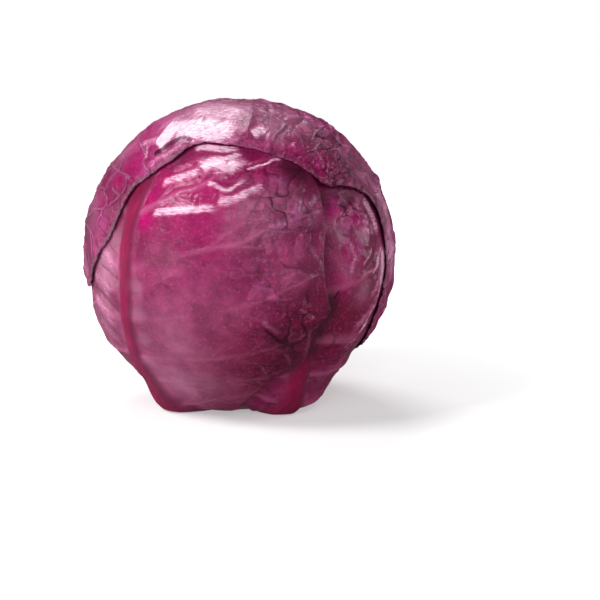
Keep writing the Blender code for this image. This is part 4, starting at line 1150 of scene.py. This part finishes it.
def growStump():
    # cut face in rings from its middle, a crisp rim, then the tapering stalk
    face = np.stack([np.linspace(0, stump["radius"] - 0.0009, 22), np.zeros(22)], -1)
    profile = np.concatenate([face, stalkProfile(0.0, stump["rings"])])
    def shape(r, z, turn):
        wave = 1 - 0.012 * (np.sin(5 * turn) + 0.5 * np.sin(11 * turn + 1)) * smoothStep(z / 0.003)
        return np.stack([r * wave * np.cos(turn), r * wave * np.sin(turn), z], -1)
    piece = turnedPiece("stump", profile, stump["sides"], shape)
    material, start = newMaterial("stumpWood")
    at = start.add("TexCoord", {}, {}, "Object")
    away = at.scaled((1, 1, 0)).vector("LENGTH", output="Value")  # from the axis
    fleck, grain = at.noise(0.0022, 4, 0.6), at.noise(0.0005, 2, 0.5)
    pith = (away + 0.0016 * (fleck - 0.5)).rise(0.0085, 0.0110)
    bark = (away + 0.0012 * (fleck - 0.5)).rise(0.0150, 0.0168)
    colour = pith.blend((0.66, 0.56, 0.42), (0.52, 0.40, 0.28))
    colour = bark.blend(colour, (0.26, 0.10, 0.13))
    colour = (0.5 * fleck.rise(0.5, 0.75)).blend(colour, (0.30, 0.19, 0.12))
    fibres = {"Vector": at.scaled((1, 1, 0.05)), "Scale": 900.0}
    dots = at.add("TexVoronoi", {}, fibres, "Distance")
    colour = ((1 - dots.rise(0.1, 0.4)) * pith * 0.5).blend(colour, (0.20, 0.12, 0.08))
    normal = start.add("Bump", {}, {"Strength": 1.0, "Distance": 1.0,
                                    "Height": 0.0003 * fleck + 0.0001 * grain - 0.0002 * dots})
    shader = start.add("BsdfPrincipled", {}, {
        "Base Color": colour, "Roughness": 0.62 + 0.2 * fleck, "Normal": normal, "IOR": 1.45})
    piece.data.materials.append(finishMaterial(material, start, shader))
    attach(piece, "root")
    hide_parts("stem")


def growHeart():
    # The ball of inner leaves from its top down to the stalk, then up the pocket that the
    # stalk stands in. Its skin follows the innermost leaf's underside.
    pocket = stalkProfile(stump["clear"], 60)
    pocket = pocket[pocket[:, 1] > 0.0172]
    latitudes = np.radians(np.linspace(90, -75, 150))
    rows = np.concatenate([np.stack([np.cos(latitudes), np.sin(latitudes)], -1), pocket])
    shellRows = len(latitudes)
    top = bladeRadius(0, direction(0.0, 90.0)[None])[0] - head["heartGap"]
    rows[0] = 0, head["middle"] + top
    def shape(r, z, turn):
        isShell = (np.arange(r.shape[0]) < shellRows - 1)[:, None]
        latitude = np.degrees(np.arctan2(z, np.maximum(r, 1e-9)))
        d = direction(np.degrees(turn) + 90, np.where(isShell, latitude, 0.0))
        azimuth = angles(d)[0]
        waves = (0.0004 * np.sin(azimuth / 9 + 0.09 * latitude)
                 + 0.0003 * np.sin(azimuth / 4 - 0.13 * latitude))
        waves = np.abs(waves) * smoothStep((latitude + 70) / 20)
        radius = bladeRadius(0, d) - head["heartGap"] - waves
        shell = d * radius[..., None] + (0, 0, head["middle"])
        tube = np.stack([r * np.cos(turn), r * np.sin(turn), z], -1)
        return np.where(isShell[..., None], shell, tube)
    piece = turnedPiece("heart", rows, 132, shape)
    piece.data.flip_normals()
    piece.data.materials.append(leafSkin("heartSkin", dict(darkLook, wax=0.2)))
    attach(piece, "root")
    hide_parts("heart")


growStump()
growHeart()
print("stump and heart grown")

# A pale table, soft light, and a long lens from a little above.
table = dict(size=1.6, colour=(0.65, 0.65, 0.65), rough=0.6, glow=0.90)
camera = dict(distance=0.80, elevation=10.0, lens=93.43, sensor=36.0,
              turn=2.277, tilt=-11.773)
lamps = [  # name, azimuth, elevation, distance, width, height, power
    ("overhead", -165, 58, 0.9, 0.40, 0.30, 5.0),
    ("key", -62, 42, 1.0, 0.36, 0.30, 9.5),
    ("front", 12, 36, 1.3, 0.6, 0.4, 5.5),
    ("fill", -56, 2, 1.0, 0.6, 0.26, 3.0),
    ("cardLeft", -106, 6, 0.7, 0.30, 0.36, 1.3),
    ("cardRight", 98, 10, 0.8, 0.30, 0.40, 2.6),
]
studio = dict(seen=1.0, front=0.03, back=0.12)  # brightness of the surroundings


def addTable():
    # a round top that brightens outwards into the white surroundings
    turn = np.linspace(0, 2 * np.pi, 96, endpoint=False)
    points = table["size"] * np.stack([np.cos(turn), np.sin(turn), 0 * turn], -1)
    piece = meshPiece("table", points, [np.arange(96)[None]])
    material, start = newMaterial("tableTop")
    at = start.add("TexCoord", {}, {}, "Object")
    away = at.vector("LENGTH", output="Value")
    shader = start.add("BsdfPrincipled", {}, {
        "Base Color": (*table["colour"], 1), "Roughness": table["rough"],
        "Specular IOR Level": 0.2, "Emission Strength": table["glow"],
        "Emission Color": away.rise(0.08, 0.45).blend((0.42, 0.42, 0.42), (1, 1, 1))})
    piece.data.materials.append(finishMaterial(material, start, shader))
    piece.visible_glossy = False  # the leaves' gloss shows the dim room, not the bright table


def stand(thing, azimuth, elevation, distance, ahead=None):
    # links it at this place, facing the middle of the head or along ahead
    back = Vector(direction(azimuth, elevation))
    thing.location = Vector((0, 0, head["middle"])) + distance * back
    thing.rotation_mode = "QUATERNION"
    if ahead is None:
        thing.rotation_quaternion = back.to_track_quat("Z", "Y")
    else:
        thing.rotation_quaternion = ahead.to_track_quat("-Z", "Y")
    bpy.context.scene.collection.objects.link(thing)


def addLight():
    for name, azimuth, elevation, distance, width, height, power in lamps:
        light = bpy.data.lights.new(name, "AREA")
        light.shape, light.size, light.size_y, light.energy = "RECTANGLE", width, height, power
        stand(bpy.data.objects.new(name, light), azimuth, elevation, distance)
    world = bpy.data.worlds.new("studio")
    world.use_nodes = True
    tree = world.node_tree
    tree.nodes.clear()
    start = Wire(tree)
    aim = start.add("TexCoord", {}, {}, "Generated")
    back = aim.add("SeparateXYZ", {}, {0: aim}, "Y").rise(-0.15, 0.75)
    seen = start.add("Background", {}, {"Color": (1, 1, 1, 1), "Strength": studio["seen"]})
    dim = studio["front"] + (studio["back"] - studio["front"]) * back
    felt = start.add("Background", {}, {"Color": (1, 1, 1, 1), "Strength": dim})
    ray = start.add("LightPath", {}, {}, "Is Camera Ray")
    both = start.add("MixShader", {}, {0: ray, 1: felt, 2: seen})
    out = tree.nodes.new("ShaderNodeOutputWorld")
    tree.links.new(both.socket, out.inputs["Surface"])
    bpy.context.scene.world = world


def addCamera():
    data = bpy.data.cameras.new("camera")
    data.lens, data.sensor_width = camera["lens"], camera["sensor"]
    data.clip_start, data.clip_end = 0.01, 50.0
    eye = bpy.data.objects.new("camera", data)
    ahead = Vector(-direction(-camera["turn"], -camera["tilt"]))
    stand(eye, 0.0, camera["elevation"], camera["distance"], ahead)
    bpy.context.scene.camera = eye


addTable()
addLight()
addCamera()
bpy.context.scene.view_settings.view_transform = "Standard"
print("table, light and camera set")
